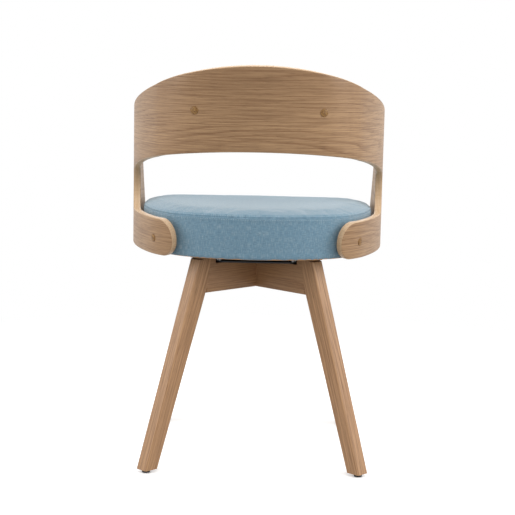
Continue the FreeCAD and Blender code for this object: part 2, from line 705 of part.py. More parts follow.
def back_outline():
    """Flat outline of the back, from the left wing round the front and over the top."""
    apex = size("back_top") + apex_rise(size("top_fall"), size("top_bend"))
    arm_height = apex - size("top_fall") * size("arm_girth")
    window_apex = size("window_top") + apex_rise(size("window_fall"), size("window_bend"))
    window_end = window_apex - size("window_fall") * size("window_girth")
    left = [
        (size("wing_girth"), size("back_bottom"), size("wing_round_low")),
        (size("front_girth"), size("back_bottom"), size("front_round")),
        (size("arm_girth"), arm_height, size("arm_round")),
    ]
    window = [
        (size("window_girth"), window_end, size("window_round_high")),
        (size("window_girth"), size("wing_top"), size("window_round_low")),
        (size("wing_girth"), size("wing_top"), size("wing_round_high")),
    ]

    def mirrored(corners):
        return [(-girth, height, radius) for girth, height, radius in reversed(corners)]

    crown = [(0, apex, size("top_bend"))]
    brow = [(0, window_apex, size("window_bend"))]
    return left + crown + mirrored(left) + mirrored(window) + brow + window


SCREW_SPOTS = {
    "wing": (size("wing_screw_girth"), size("wing_screw_height")),
    "side": (size("side_screw_girth"), size("side_screw_height")),
    "rest": (size("rest_screw_girth"), size("rest_screw_height")),
}


def screw_placement(kind, side, depth):
    """Place on a screw's axis, at a depth under the outer face, with Z pointing inwards."""
    girth, height = SCREW_SPOTS[kind]
    point, inward = back_frame(side * girth, height)
    return Placement(point + inward * depth, Rotation(Vector(0, 0, 1), inward))


HEAD_DEPTH = size("cap_depth") + size("soft_gap")
SEAT_DEPTH = HEAD_DEPTH + size("screw_head_height") + size("soft_gap")


def screw_bore(kind, side):
    """Counterbore for cap and screw head, and the hole for the shank."""
    outside = size("bore_overrun")
    bore = Part.makeCylinder(size("cap_diameter") / 2 + size("fit"), SEAT_DEPTH + outside)
    bore.Placement = screw_placement(kind, side, -outside)
    hole = Part.makeCylinder(size("screw_diameter") / 2 + size("fit"), size("back_screw_length"))
    hole.Placement = screw_placement(kind, side, 0)
    return bore.fuse(hole)


def feature(label, shape):
    """A piece whose shape is worked out above from the sheet's sizes."""
    obj = doc.addObject("Part::Feature", label)
    obj.Shape = shape
    obj.Placement = Placement()
    return keep(label, obj)


def build_back():
    panel = bent_panel(back_outline(), 0, size("ply"), (0, (size("window_top") + size("back_top")) / 2))
    edges = [edge for face in broad_faces(panel) for edge in face.Edges]
    panel = panel.makeFillet(size("ply_round"), edges)
    for kind in SCREW_SPOTS:
        for side in (1, -1):
            panel = panel.cut(screw_bore(kind, side))
    feature("back_shell", panel)


build_back()

for node, kinds in (("seat_screw", ("wing", "side")), ("rest_screw", ("rest",))):
    screws = []
    caps = []
    for kind in kinds:
        for side in (1, -1):
            name = "%s_%s_%s" % (node, kind, "left" if side > 0 else "right")
            head_at = SEAT_DEPTH - size("screw_head_height")
            head = cylinder(name + "_head", "sizes.screw_head_diameter / 2", "sizes.screw_head_height",
                            screw_placement(kind, side, head_at))
            shank = cylinder(name + "_shank", "sizes.screw_diameter / 2",
                             "sizes.back_screw_length" if kind != "rest" else
                             "sizes.ply + sizes.soft_gap + sizes.pad_board_thickness - %g" % SEAT_DEPTH,
                             screw_placement(kind, side, SEAT_DEPTH))
            screws.append(fuse(name, [head, shank]))
            plug = cylinder(name + "_plug", "sizes.cap_diameter / 2", "sizes.cap_depth + sizes.cap_proud",
                            screw_placement(kind, side, -size("cap_proud")))
            dome = doc.addObject("Part::Sphere", name + "_dome")
            dome.setExpression("Radius", "sizes.cap_dome")
            dome.Placement = screw_placement(kind, side, size("cap_dome") - size("cap_proud"))
            cap = doc.addObject("Part::Common", name + "_cap")
            cap.Base = plug
            cap.Tool = dome
            caps.append(cap)
    group(node + "s", screws)
    group(node + "_caps", caps)

# Seat: board, blocks, foam and cover share one plan, the back's foot set inwards


def seat_chain(inset):
    """Edges of the seat's plan, set in from the outside of the back's foot by a distance."""
    rear = FOOT_REAR - inset
    corner = size("back_corner") - inset
    side = FOOT_SIDE - inset
    start = size("back_rear") - inset
    side_end = math.radians(size("seat_side_turn"))
    front_end = math.radians(size("seat_front_turn"))
    base = plan_point(side_end, rear, corner, side, start)
    deep = size("seat_front") - (inset - SEAT_INSET) + base.y
    a, b = math.sin(side_end) - math.sin(front_end), math.sin(front_end)
    c, d = math.cos(side_end) - math.cos(front_end), math.cos(front_end) + 1
    scale = a * d - b * c
    front_corner = (base.x * d - b * deep) / scale
    front = (a * deep - base.x * c) / scale
    turns = [0, REAR_TURN, CORNER_TURN, side_end, front_end, math.pi]
    radii = [rear, corner, side, front_corner, front]
    nodes = [Vector(0, start, 0)]
    middles = []
    for radius, begin, end in zip(radii, turns, turns[1:]):
        here = nodes[-1]
        steps = []
        for turn in ((begin + end) / 2, end):
            steps.append(here + Vector(radius * (math.sin(turn) - math.sin(begin)),
                                       -radius * (math.cos(begin) - math.cos(turn)), 0))
        middles.append(steps[0])
        nodes.append(steps[1])
    return nodes, middles


SEAT_INSET = size("ply") + size("seat_gap")


def seat_wire(inset, height, scale=1.0):
    """Closed plan of arcs at a height; scale shrinks it about the axis for the crown."""
    nodes, middles = seat_chain(inset)

    def at(point, mirror):
        return Vector(point.x * scale * mirror, point.y * scale, height)

    edges = []
    for i in range(1, len(middles) - 1):
        edges.append(Part.Arc(at(nodes[i], 1), at(middles[i], 1), at(nodes[i + 1], 1)).toShape())
    last = len(nodes) - 2
    edges.append(Part.Arc(at(nodes[last], 1), at(nodes[-1], 1), at(nodes[last], -1)).toShape())
    for i in range(len(middles) - 2, 0, -1):
        edges.append(Part.Arc(at(nodes[i + 1], -1), at(middles[i], -1), at(nodes[i], -1)).toShape())
    edges.append(Part.Arc(at(nodes[1], -1), at(nodes[0], 1), at(nodes[1], 1)).toShape())
    return Part.Wire(edges)


def seat_slab(inset, low, high):
    return Part.Face(seat_wire(inset, low)).extrude(Vector(0, 0, high - low))


SEAT_FOOT = board_low - size("seat_rim_height")
SEAM_HEIGHT = size("seat_top") - size("seam_drop")
CAP_LATITUDE = 70  # the seat meets only the cap of the crown's sphere above this latitude


def crown_centre():
    """Centre of the sphere that crowns the seat; it lies behind the seat's middle, so that
    the top falls a little towards the front."""
    middle = (size("back_rear") - SEAT_INSET - size("seat_front")) / 2
    shift = size("crown_radius") * math.sin(math.radians(size("seat_tilt")))
    return Vector(0, middle + shift, size("seat_top") - size("crown_radius"))


def seat_form(skin, low):
    """Cushion body a skin's thickness inside the cover: bowed sides, round shoulder, crown."""
    draw = size("seat_draw")
    half = (SEAM_HEIGHT - SEAT_FOOT) / 2
    sections = []
    for height in (low, SEAT_FOOT + half, SEAT_FOOT + 2 * half, SEAT_FOOT + 3 * half):
        bow = draw * ((height - SEAT_FOOT - half) / half) ** 2
        sections.append(seat_wire(SEAT_INSET + skin + bow, height))
    sides = Part.makeLoft(sections, True, False)
    radius = size("crown_radius") - skin
    crown = Part.makeSphere(radius, crown_centre(), Vector(0, 0, 1), CAP_LATITUDE, 90, 360)
    body = sides.common(crown)
    top = max(body.Faces, key=lambda face: face.CenterOfMass.z)
    return body.makeFillet(size("seat_shoulder") - skin, top.Edges)


def mounting_block(kind, side, grow):
    """Mounting block behind a screw of the seat, grown on each free side."""
    girth, height = SCREW_SPOTS[kind]
    turn = turn_at(side * girth)
    foot = plan_point(turn, FOOT_REAR, size("back_corner"), FOOT_SIDE, size("back_rear"))
    inward = Vector(-math.sin(turn), -math.cos(turn), 0)
    face = SEAT_INSET + size("cover_thickness") + size("soft_gap") + size("block_set_in") - grow
    length = size("block_length") + 2 * grow
    box = Part.makeBox(length, size("block_depth") + 2 * grow, size("block_height") + grow,
                       Vector(-length / 2, face, 0))
    angle = math.degrees(math.atan2(inward.y, inward.x)) - 90
    box.Placement = Placement(Vector(foot.x, foot.y, board_face), Rotation(Vector(0, 0, 1), angle))
    return box


def shank_bore(kind, side):
    length = size("back_screw_length") + size("fit") + size("bore_overrun")
    hole = Part.makeCylinder(size("screw_diameter") / 2 + size("fit"), length)
    hole.Placement = screw_placement(kind, side, SEAT_DEPTH - size("bore_overrun"))
    return hole


def build_seat():
    skin = size("cover_thickness")
    gap = size("soft_gap")
    core_inset = SEAT_INSET + skin + gap
    cover = seat_form(0, SEAT_FOOT).cut(seat_form(skin, SEAT_FOOT - size("overrun")))
    foam = seat_form(skin + gap, board_face)
    board_inset = core_inset + size("seat_draw")
    rim_inset = board_inset + size("seat_rim_width")
    board = seat_slab(board_inset, board_low, board_face)
    rim = seat_slab(board_inset, SEAT_FOOT, board_low).cut(seat_slab(rim_inset, SEAT_FOOT, board_low))
    middle_hole = Vector(0, 0, board_low)
    board = board.cut(Part.makeCylinder(size("board_hole") / 2, size("board_thickness"), middle_hole))
    blocks = []
    for kind in ("wing", "side"):
        for side in (1, -1):
            bore = shank_bore(kind, side)
            blocks.append(mounting_block(kind, side, 0).cut(bore))
            foam = foam.cut(mounting_block(kind, side, gap)).cut(bore)
            cover = cover.cut(bore)
    for x, y in BOLT_SPOTS:
        flange_low = board_face - size("nut_flange_thickness")
        barrel = Part.makeCylinder(size("nut_barrel") / 2 + size("fit"), size("board_thickness"),
                                   Vector(x, y, board_low))
        flange = Part.makeCylinder(size("nut_flange") / 2 + size("fit"), size("nut_flange_thickness"),
                                   Vector(x, y, flange_low))
        board = board.cut(barrel.fuse(flange))
    reach = size("seat_top")
    below = Part.makeBox(2 * reach, 2 * reach, reach, Vector(-reach, -reach, -reach))
    seam_hinge = Vector(0, size("back_rear") - SEAT_INSET, SEAM_HEIGHT)
    below.Placement = Placement(seam_hinge, Rotation(Vector(1, 0, 0), size("seat_tilt")))
    feature("seat_board", board)
    feature("seat_rim", rim)
    feature("mounting_blocks", Part.Compound(blocks))
    feature("seat_foam", foam)
    feature("seat_cover_band", cover.common(below))
    feature("seat_cover_top", cover.cut(below))
    cloth_low = board_low - size("dust_cover_thickness")
    cloth = seat_slab(rim_inset + size("soft_gap"), cloth_low, board_low)
    cloth = cloth.cut(Part.makeCylinder(size("board_hole") / 2, size("overrun"), Vector(0, 0, cloth_low)))
    for x, y in BOLT_SPOTS:
        bolt_hole = Part.makeCylinder(size("bolt_diameter") / 2 + size("fit"), size("overrun"),
                                      Vector(x, y, cloth_low))
        cloth = cloth.cut(bolt_hole)
    feature("dust_cover", cloth)


build_seat()

# Back pad on the inside of the back rest: a bent board, foam with a rounded front, and a cover


def pad_outline(grow):
    wide = size("pad_half_girth") + grow
    low = size("pad_bottom") - grow
    high = size("pad_top") + grow
    radius = size("pad_round") + grow
    return [(wide, low, radius), (wide, high, radius), (-wide, high, radius), (-wide, low, radius)]


def pad_form(grow, outer_depth, inner_depth, rounding):
    middle = (0, (size("pad_bottom") + size("pad_top")) / 2)
    panel = bent_panel(pad_outline(grow), outer_depth, inner_depth, middle)
    inner_face = min(broad_faces(panel), key=lambda face: face.CenterOfMass.y)
    return panel.makeFillet(rounding, inner_face.Edges)


def build_back_pad():
    gap = size("soft_gap")
    skin = size("cover_thickness")
    board_out = size("ply") + gap
    board_in = board_out + size("pad_board_thickness")
    foam_in = board_in + gap + size("pad_foam_thickness")
    middle = (0, (size("pad_bottom") + size("pad_top")) / 2)
    board = bent_panel(pad_outline(0), board_out, board_in, middle)
    for side in (1, -1):
        board = board.cut(shank_bore("rest", side))
    foam = pad_form(0, board_in + gap, foam_in, size("pad_crown"))
    outside = pad_form(gap + skin, board_out, foam_in + gap + skin, size("pad_crown") + skin)
    inside = pad_form(gap, board_out - size("overrun"), foam_in + gap, size("pad_crown"))
    feature("back_pad_board", board)
    feature("back_pad_foam", foam)
    feature("back_pad_cover", outside.cut(inside))


build_back_pad()

# Check every object, then write one file for each piece

doc.recompute()
for obj in doc.Objects:
    if "Invalid" in obj.State or "Error" in obj.State:
        raise RuntimeError("failed object " + obj.Name)
for label, obj in parts.items():
    if obj.Shape.isNull() or not obj.Shape.isValid():
        raise RuntimeError("bad shape " + label)

os.makedirs("parts", exist_ok=True)
for label, obj in parts.items():
    obj.Shape.exportStep("parts/%s.step" % label)
    print(label, len(obj.Shape.Solids), round(obj.Shape.Volume), obj.Shape.BoundBox)
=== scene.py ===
# %% [markdown]
# # A swivel dining chair, dressed in Blender
#
# The CAD model gives the chair's true sizes: a wrap-round bent-plywood back, an
# upholstered seat on a ball-bearing swivel, and a crossed oak base with four legs.
# This notebook keeps that model as a fixed frame, gives each hard piece the finish
# of its real material, and models the soft pieces as cloth.

import math

import bmesh
import bpy
import numpy as np
from mathutils import Matrix, Vector
from mathutils.bvhtree import BVHTree


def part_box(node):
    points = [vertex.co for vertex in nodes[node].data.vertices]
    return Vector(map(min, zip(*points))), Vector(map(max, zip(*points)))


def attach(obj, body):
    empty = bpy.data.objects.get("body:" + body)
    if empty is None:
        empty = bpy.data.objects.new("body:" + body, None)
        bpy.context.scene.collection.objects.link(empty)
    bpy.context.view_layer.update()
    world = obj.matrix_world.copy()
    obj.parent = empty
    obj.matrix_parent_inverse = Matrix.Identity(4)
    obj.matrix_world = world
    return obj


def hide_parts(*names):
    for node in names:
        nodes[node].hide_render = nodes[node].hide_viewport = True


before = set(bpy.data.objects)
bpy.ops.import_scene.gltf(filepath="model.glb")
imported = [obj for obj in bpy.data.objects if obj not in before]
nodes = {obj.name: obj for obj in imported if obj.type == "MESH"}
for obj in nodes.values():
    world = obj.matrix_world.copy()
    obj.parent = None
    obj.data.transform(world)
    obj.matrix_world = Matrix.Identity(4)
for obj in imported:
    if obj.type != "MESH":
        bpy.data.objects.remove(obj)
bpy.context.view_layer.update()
MM = 0.001
print("CAD nodes:", len(nodes))

# %% [markdown]
# ## Camera
#
# The chair was photographed from behind, from 2.7 m away and just under the height
# of its top edge, with a lens of about 98 mm on a 36 mm frame. A long lens keeps the
# splayed legs from looking wider than they are. The camera leans down by 7.75 degrees
# and rolls by a little more than one.

# %% Camera
FRAME_WIDTH_PX = 515
FOCAL_PX = 1400.0
SENSOR_MM = 36.0
camera_data = bpy.data.cameras.new("camera")
camera_data.sensor_width = SENSOR_MM
camera_data.lens = FOCAL_PX / FRAME_WIDTH_PX * SENSOR_MM
camera = bpy.data.objects.new("camera", camera_data)
bpy.context.scene.collection.objects.link(camera)
bpy.context.scene.camera = camera
PITCH = math.radians(90 - 7.75)
ROLL = math.radians(1.17)
YAW = math.radians(180)
place = Matrix.Translation(Vector((-2.15, 2707, 746)) * MM)
turn = Matrix.Rotation(YAW, 4, "Z") @ Matrix.Rotation(PITCH, 4, "X") @ Matrix.Rotation(ROLL, 4, "Z")
camera.matrix_world = place @ turn
print("lens in mm:", round(camera_data.lens, 1))

# %% [markdown]
# ## Colours and nodes
#
# Paint charts and photographs give colours in sRGB, but Cycles works in linear light,
# so one function turns each hex value to linear. Others add a shader node with its
# settings and links, so that a material reads as a short list of steps, and make the
# plain finishes, which differ only in tone and in the size of their specks.

# %% Colour and node helpers
def linear(hex_colour):
    """Linear RGBA of an sRGB colour written as #rrggbb."""
    parts = [int(hex_colour[i:i + 2], 16) / 255 for i in (1, 3, 5)]
    return [p / 12.92 if p <= 0.04045 else ((p + 0.055) / 1.055) ** 2.4 for p in parts] + [1]


def feed(tree, node, inputs):
    """Sets a node's inputs: each is a plain value, a socket, or another node for its result."""
    for socket, value in inputs.items():
        if isinstance(value, bpy.types.Node):
            value = next(output for output in value.outputs if output.enabled)
        if isinstance(value, bpy.types.NodeSocket):
            tree.links.new(value, node.inputs[socket])
        else:
            node.inputs[socket].default_value = value


def add_node(tree, kind, inputs=None, **settings):
    """A new node with its settings and its inputs."""
    node = tree.nodes.new(kind)
    for name, value in settings.items():
        setattr(node, name, value)
    feed(tree, node, inputs or {})
    return node


def blend(tree, share, low, high):
    """A mix of two colours by a share of the second."""
    return add_node(tree, "ShaderNodeMix", {"Factor": share, 6: low, 7: high}, data_type="RGBA")


def new_material(name):
    """An empty material with its tree and its surface shader."""
    material = bpy.data.materials.new(name)
    material.use_nodes = True
    tree = material.node_tree
    return material, tree, tree.nodes["Principled BSDF"]


def finish_with(piece, material):
    """Puts one material on a whole piece."""
    piece.data.materials.clear()
    piece.data.materials.append(material)


def speckled(name, tones, texture, roughness, relief=None, kind="ShaderNodeTexNoise"):
    """A finish that wavers between two tones in fine specks, with their relief if it is given."""
    material, tree, shader = new_material(name)
    place = add_node(tree, "ShaderNodeTexCoord")
    specks = add_node(tree, kind, {"Vector": place.outputs["Object"], **texture})
    tone = blend(tree, specks, linear(tones[0]), linear(tones[1]))
    feed(tree, shader, {"Base Color": tone, "Roughness": roughness})
    if relief:
        strength, distance = relief
        bump = add_node(tree, "ShaderNodeBump", {"Height": specks, "Strength": strength,
                                                 "Distance": distance})
        feed(tree, shader, {"Normal": bump})
    return material


print("mid grey #808080 in linear light:", round(linear("#808080")[0], 3))

# %% [markdown]
# ## Room
#
# A catalogue picture has a white floor that runs on into a white background. The floor
# here is pale paint that keeps the chair's shadow, and a little glow that only the
# camera sees lifts it to white. Far from the chair it turns plain white, so no line
# shows where it ends. It throws back less light than it shows, so that the rails under
# the seat stay dark. Large soft lamps at both sides and overhead light the chair, with
# less light from the camera's side, so that the middle of the bent back is its darkest
# part, as it is on a real one in a light tent.

# %% Floor
NEAR_FLOOR, FAR_FLOOR = 0.55, 1.5      # the floor turns white between these reaches, in metres
FLOOR_REACH = 6.0
FLOOR_GLOW = 0.36
white_floor, tree, shader = new_material("matt_white_paint")
seen = add_node(tree, "ShaderNodeLightPath")
direct = add_node(tree, "ShaderNodeMath", {0: seen.outputs["Is Camera Ray"],
                                           1: seen.outputs["Is Glossy Ray"]}, operation="MAXIMUM")
paint = blend(tree, direct, linear("#9c9c9c"), linear("#f2f2f2"))
feed(tree, shader, {"Base Color": paint, "Roughness": 0.9, "Specular IOR Level": 0.1})
glow = add_node(tree, "ShaderNodeMath", {0: direct, 1: FLOOR_GLOW}, operation="MULTIPLY")
emission = add_node(tree, "ShaderNodeEmission", {"Strength": glow})
lit = add_node(tree, "ShaderNodeAddShader", {0: shader, 1: emission})
place = add_node(tree, "ShaderNodeTexCoord")
reach = add_node(tree, "ShaderNodeVectorMath", {0: place.outputs["Object"]}, operation="LENGTH")
away = add_node(tree, "ShaderNodeMapRange", {"Value": reach.outputs["Value"], "From Min": NEAR_FLOOR,
                                             "From Max": FAR_FLOOR}, interpolation_type="SMOOTHSTEP")
share = add_node(tree, "ShaderNodeMath", {0: away, 1: direct}, operation="MULTIPLY")
white = add_node(tree, "ShaderNodeEmission", {"Strength": 1.0})
faded = add_node(tree, "ShaderNodeMixShader", {0: share, 1: lit, 2: white})
# seen from below, the floor is left out, so that the chair's underside can be looked at
side = add_node(tree, "ShaderNodeNewGeometry")
clear = add_node(tree, "ShaderNodeBsdfTransparent")
one_sided = add_node(tree, "ShaderNodeMixShader", {0: side.outputs["Backfacing"], 1: faded, 2: clear})
feed(tree, tree.nodes["Material Output"], {"Surface": one_sided})

floor_shape = bmesh.new()
bmesh.ops.create_grid(floor_shape, x_segments=8, y_segments=8, size=FLOOR_REACH)
floor_mesh = bpy.data.meshes.new("floor")
floor_shape.to_mesh(floor_mesh)
floor_shape.free()
floor = bpy.data.objects.new("floor", floor_mesh)
bpy.context.scene.collection.objects.link(floor)
finish_with(floor, white_floor)
print("floor:", 2 * FLOOR_REACH, "m across")

# %% World
WORLD_LIGHT = 0.55            # what the white background gives off; the camera sees it as 1
world = bpy.data.worlds.new("studio")
bpy.context.scene.world = world
world.use_nodes = True
sky = world.node_tree
ray = add_node(sky, "ShaderNodeLightPath")
clear = add_node(sky, "ShaderNodeMath", {0: ray.outputs["Is Camera Ray"],
                                         1: ray.outputs["Is Glossy Ray"]}, operation="MAXIMUM")
strength = add_node(sky, "ShaderNodeMapRange", {"Value": clear, "To Min": WORLD_LIGHT, "To Max": 1.0})
feed(sky, sky.nodes["Background"], {"Color": (1, 1, 1, 1), "Strength": strength})
print("world:", world.name)

# %% Lamps
# name, place and aim in metres, width in metres, watts
LAMPS = [
    ("lamp_overhead", (0, 0.3, 2.6), (0, 0, 0.5), 2.4, 38),
    ("lamp_right", (-2.2, 0.6, 1.3), (0, 0.1, 0.5), 1.6, 26),
    ("lamp_left", (2.2, 0.4, 1.3), (0, 0.1, 0.5), 1.6, 20),
    ("lamp_front", (0, -2.6, 1.6), (0, 0, 0.5), 1.8, 14),
    ("lamp_camera", (-0.8, 3.2, 1.8), (0, 0, 0.5), 2.0, 10),
]
for name, where, target, width, watts in LAMPS:
    lamp_data = bpy.data.lights.new(name, "AREA")
    lamp_data.size = width
    lamp_data.energy = watts
    lamp = bpy.data.objects.new(name, lamp_data)
    bpy.context.scene.collection.objects.link(lamp)
    aim = (Vector(target) - Vector(where)).to_track_quat("-Z", "Y")
    lamp.matrix_world = Matrix.Translation(where) @ aim.to_matrix().to_4x4()
bpy.context.scene.view_settings.view_transform = "Standard"
print("lamps:", len(LAMPS), "with", sum(lamp[-1] for lamp in LAMPS), "W in all")

# %% [markdown]
# ## Oak
#
# The legs, rails and the bent back's veneer are European oak under a satin lacquer.
# Flat-sawn oak shows three things: growth rings, which a flat cut turns into long
# cathedral arches; open pores, short dark dashes that follow the rings; and slow
# changes of tone from board to board. Rings come from the contour lines of a noise that
# is stretched along the grain, and pores from a finer noise stretched the same way.
# Between the two lie long fine streaks, which are rows of pores seen from a distance.
# All of it reads a position in metres whose X runs along the grain.

# %% Oak finish
PORE_SPACING = 0.9 * MM       # real pores are 0.3 mm wide; drawn coarser, to show
PORE_LENGTH = 22 * MM
STREAK_SPACING = 2.0 * MM
STREAK_LENGTH = 130 * MM
PORE_SCALE = (1 / PORE_LENGTH, 1 / PORE_SPACING, 1 / PORE_SPACING)
STREAK_SCALE = (1 / STREAK_LENGTH, 1 / STREAK_SPACING, 1 / STREAK_SPACING)
RING_STRETCH = 9.0


def oak(tree, shader, grain, tones, ring_spacing):
    """Colour, gloss and pore relief of lacquered oak, for a position with X along the grain."""
    light, middle, dark, pore = [linear(tone) for tone in tones]
    stretched = add_node(tree, "ShaderNodeMapping", {"Vector": grain, "Scale": (1 / RING_STRETCH, 1, 1)})
    swell = add_node(tree, "ShaderNodeTexNoise", {"Vector": stretched, "Scale": 11, "Detail": 2.0,
                                                  "Roughness": 0.45})
    apart = add_node(tree, "ShaderNodeSeparateXYZ", {0: stretched})
    drift = add_node(tree, "ShaderNodeMath", {0: swell, 1: 0.17}, operation="MULTIPLY")
    level = add_node(tree, "ShaderNodeMath", {0: apart.outputs[1], 1: drift}, operation="ADD")
    rings = add_node(tree, "ShaderNodeMath", {0: level, 1: 1 / ring_spacing}, operation="MULTIPLY")
    phase = add_node(tree, "ShaderNodeMath", {0: rings}, operation="FRACT")
    early = add_node(tree, "ShaderNodeMapRange", {"Value": phase, "From Min": 0.0, "From Max": 0.55,
                                                  "To Min": 1.0, "To Max": 0.0},
                     interpolation_type="SMOOTHSTEP")
    edge = add_node(tree, "ShaderNodeMapRange", {"Value": phase, "From Min": 0.90, "From Max": 1.0})
    band = add_node(tree, "ShaderNodeMath", {0: early, 1: edge}, operation="MAXIMUM")
    ring_noise = add_node(tree, "ShaderNodeTexNoise", {"Vector": stretched, "Scale": 26, "Detail": 1})
    ring_depth = add_node(tree, "ShaderNodeMapRange", {"Value": ring_noise, "From Min": 0.35,
                                                       "From Max": 0.65, "To Min": 0.15, "To Max": 0.9})
    band = add_node(tree, "ShaderNodeMath", {0: band, 1: ring_depth}, operation="MULTIPLY")
    ringed = blend(tree, band, light, middle)
    patch = add_node(tree, "ShaderNodeTexNoise", {"Vector": stretched, "Scale": 5.5, "Detail": 1})
    slow = add_node(tree, "ShaderNodeMapRange", {"Value": patch, "From Min": 0.35, "From Max": 0.7,
                                                 "To Min": 0.0, "To Max": 0.5})
    toned = blend(tree, slow, ringed, dark)
    drawn = add_node(tree, "ShaderNodeMapping", {"Vector": grain, "Scale": STREAK_SCALE})
    streaks = add_node(tree, "ShaderNodeTexNoise", {"Vector": drawn, "Scale": 1.0, "Detail": 2.5,
                                                    "Roughness": 0.6})
    streak = add_node(tree, "ShaderNodeMapRange", {"Value": streaks, "From Min": 0.42, "From Max": 0.66,
                                                   "To Min": 0.0, "To Max": 0.75})
    toned = blend(tree, streak, toned, dark)
    fine = add_node(tree, "ShaderNodeMapping", {"Vector": grain, "Scale": PORE_SCALE})
    dashes = add_node(tree, "ShaderNodeTexNoise", {"Vector": fine, "Scale": 1.0, "Detail": 1.5})
    cut = add_node(tree, "ShaderNodeMapRange", {"Value": dashes, "From Min": 0.52, "From Max": 0.66})
    early_wide = add_node(tree, "ShaderNodeMapRange", {"Value": band, "To Min": 0.22, "To Max": 0.62})
    pores = add_node(tree, "ShaderNodeMath", {0: cut, 1: early_wide}, operation="MULTIPLY")
    coloured = blend(tree, pores, toned, pore)
    relief = add_node(tree, "ShaderNodeBump", {"Height": pores, "Strength": 0.25, "Distance": 0.12 * MM},
                      invert=True)
    gloss = add_node(tree, "ShaderNodeMapRange", {"Value": pores, "To Min": 0.42, "To Max": 0.62})
    feed(tree, shader, {"Roughness": gloss, "Normal": relief, "IOR": 1.5})
    return coloured.outputs[2]


# light and dark wood of a ring, dark streak, pore
OAK_TONES = ("#bb956d", "#9d7752", "#7c5837", "#573b20")
LEG_TONES = ("#bd9269", "#a67a52", "#8b6340", "#63442a")
print("pores over a centimetre across the grain:", round(10 * MM / PORE_SPACING))

# %% [markdown]
# ## Legs and rails
#
# Each leg is cut with the grain along its length, so every leg needs the pattern turned
# its own way: the X of its pattern follows the leg's slope, out from the middle and down.
# The CAD solids already have the right shape, so only their material changes.

# %% Legs and rails
FOOT_REACH = 277 * MM
TOP_REACH = 141 * MM
LEG_HEIGHT = 389.5 * MM
LEG_RINGS, SHEET_RINGS = 8 * MM, 11 * MM
RING_LEAN = 0.35              # how far the third axis moves the rings: the cut isn't square to them
LEG_SHIFT, RAIL_SHIFT = (0.31, 0.013), (0.7, 0.002)    # each piece takes another place in the wood


def along_piece(name, direction, across, offset):
    """Solid oak whose grain runs in a direction of the chair's own space."""
    material, tree, shader = new_material(name)
    along = Vector(direction).normalized()
    face = Vector(across).cross(along).normalized()
    side = face.cross(along)
    turned = Matrix((along, side, face)).to_euler("XYZ")
    position = add_node(tree, "ShaderNodeTexCoord")
    local = add_node(tree, "ShaderNodeMapping", {"Vector": position.outputs["Object"],
                                                 "Rotation": turned, "Location": offset})
    lean = add_node(tree, "ShaderNodeSeparateXYZ", {0: local})
    mixed = add_node(tree, "ShaderNodeMath", {0: lean.outputs[2], 1: RING_LEAN, 2: lean.outputs[1]},
                     operation="MULTIPLY_ADD")
    grain = add_node(tree, "ShaderNodeCombineXYZ", {0: lean.outputs[0], 1: mixed, 2: lean.outputs[2]})
    colour = oak(tree, shader, grain, LEG_TONES, LEG_RINGS)
    feed(tree, shader, {"Base Color": colour})
    return material


CORNERS = {"rear_left": 45, "rear_right": 135, "front_right": 225, "front_left": 315}
for count, (corner, angle) in enumerate(CORNERS.items()):
    out = Vector((math.cos(math.radians(angle)), math.sin(math.radians(angle)), 0))
    slope = out * (FOOT_REACH - TOP_REACH) - Vector((0, 0, LEG_HEIGHT))
    side = out.cross(Vector((0, 0, 1)))
    shift = [part * count for part in LEG_SHIFT] + [0]
    leg_oak = along_piece("lacquered_oak_leg_" + corner, slope, side, shift)
    finish_with(nodes["leg_" + corner], leg_oak)
for name, angle in (("cross_rail_lower", 45), ("cross_rail_upper", 135)):
    out = Vector((math.cos(math.radians(angle)), math.sin(math.radians(angle)), 0))
    shift = [part * angle for part in RAIL_SHIFT] + [0]
    rail_oak = along_piece("lacquered_oak_" + name, out, (0, 0, 1), shift)
    finish_with(nodes[name], rail_oak)
splay = math.degrees(math.atan2(FOOT_REACH - TOP_REACH, LEG_HEIGHT))
print("legs splay by", round(splay, 1), "degrees")

# %% [markdown]
# ## Bent back: unrolling the sheet
#
# The back is one sheet of moulded plywood. Its veneer was glued flat and bent, so the
# grain follows the sheet round the corners, which no pattern in plain X, Y and Z can do.
# The sheet is a chain of arcs at every height, so its two coordinates are easy to work
# back: the angle about the right arc's centre gives the girth, and the distance from
# that centre gives the depth under the outer face. They become the piece's UV map and
# an attribute that the plywood's layers read.

# %% Plan of the back
HALF_WIDTH, BACK_REAR, BACK_WIDEST, BACK_LEAN = 250 * MM, 190 * MM, 128 * MM, 58 * MM
CORNER_RADIUS = 156 * MM
BACK_LOW, BACK_HIGH = 394.5 * MM, 747.5 * MM
REAR_TURN, CORNER_TURN = math.radians(25), math.radians(65)
PLY = 14 * MM


def arc_radii(depth):
    """Rear and side radius of the back's plan for its depth."""
    s1, c1 = math.sin(REAR_TURN), math.cos(REAR_TURN)
    s2, c2 = math.sin(CORNER_TURN), math.cos(CORNER_TURN)
    width_left = HALF_WIDTH - CORNER_RADIUS * (s2 - s1)
    depth_left = depth - CORNER_RADIUS * (c1 - c2)
    share = s1 * c2 - (1 - s2) * (1 - c1)
    rear = (width_left * c2 - depth_left * (1 - s2)) / share
    side = (depth_left * s1 - width_left * (1 - c1)) / share
    return rear, side


FOOT_REAR, FOOT_SIDE = arc_radii(BACK_REAR + BACK_WIDEST)
TOP_REAR, TOP_SIDE = arc_radii(BACK_REAR + BACK_WIDEST + BACK_LEAN)
print("rear radius at foot and top in mm:", round(FOOT_REAR / MM), round(TOP_REAR / MM))


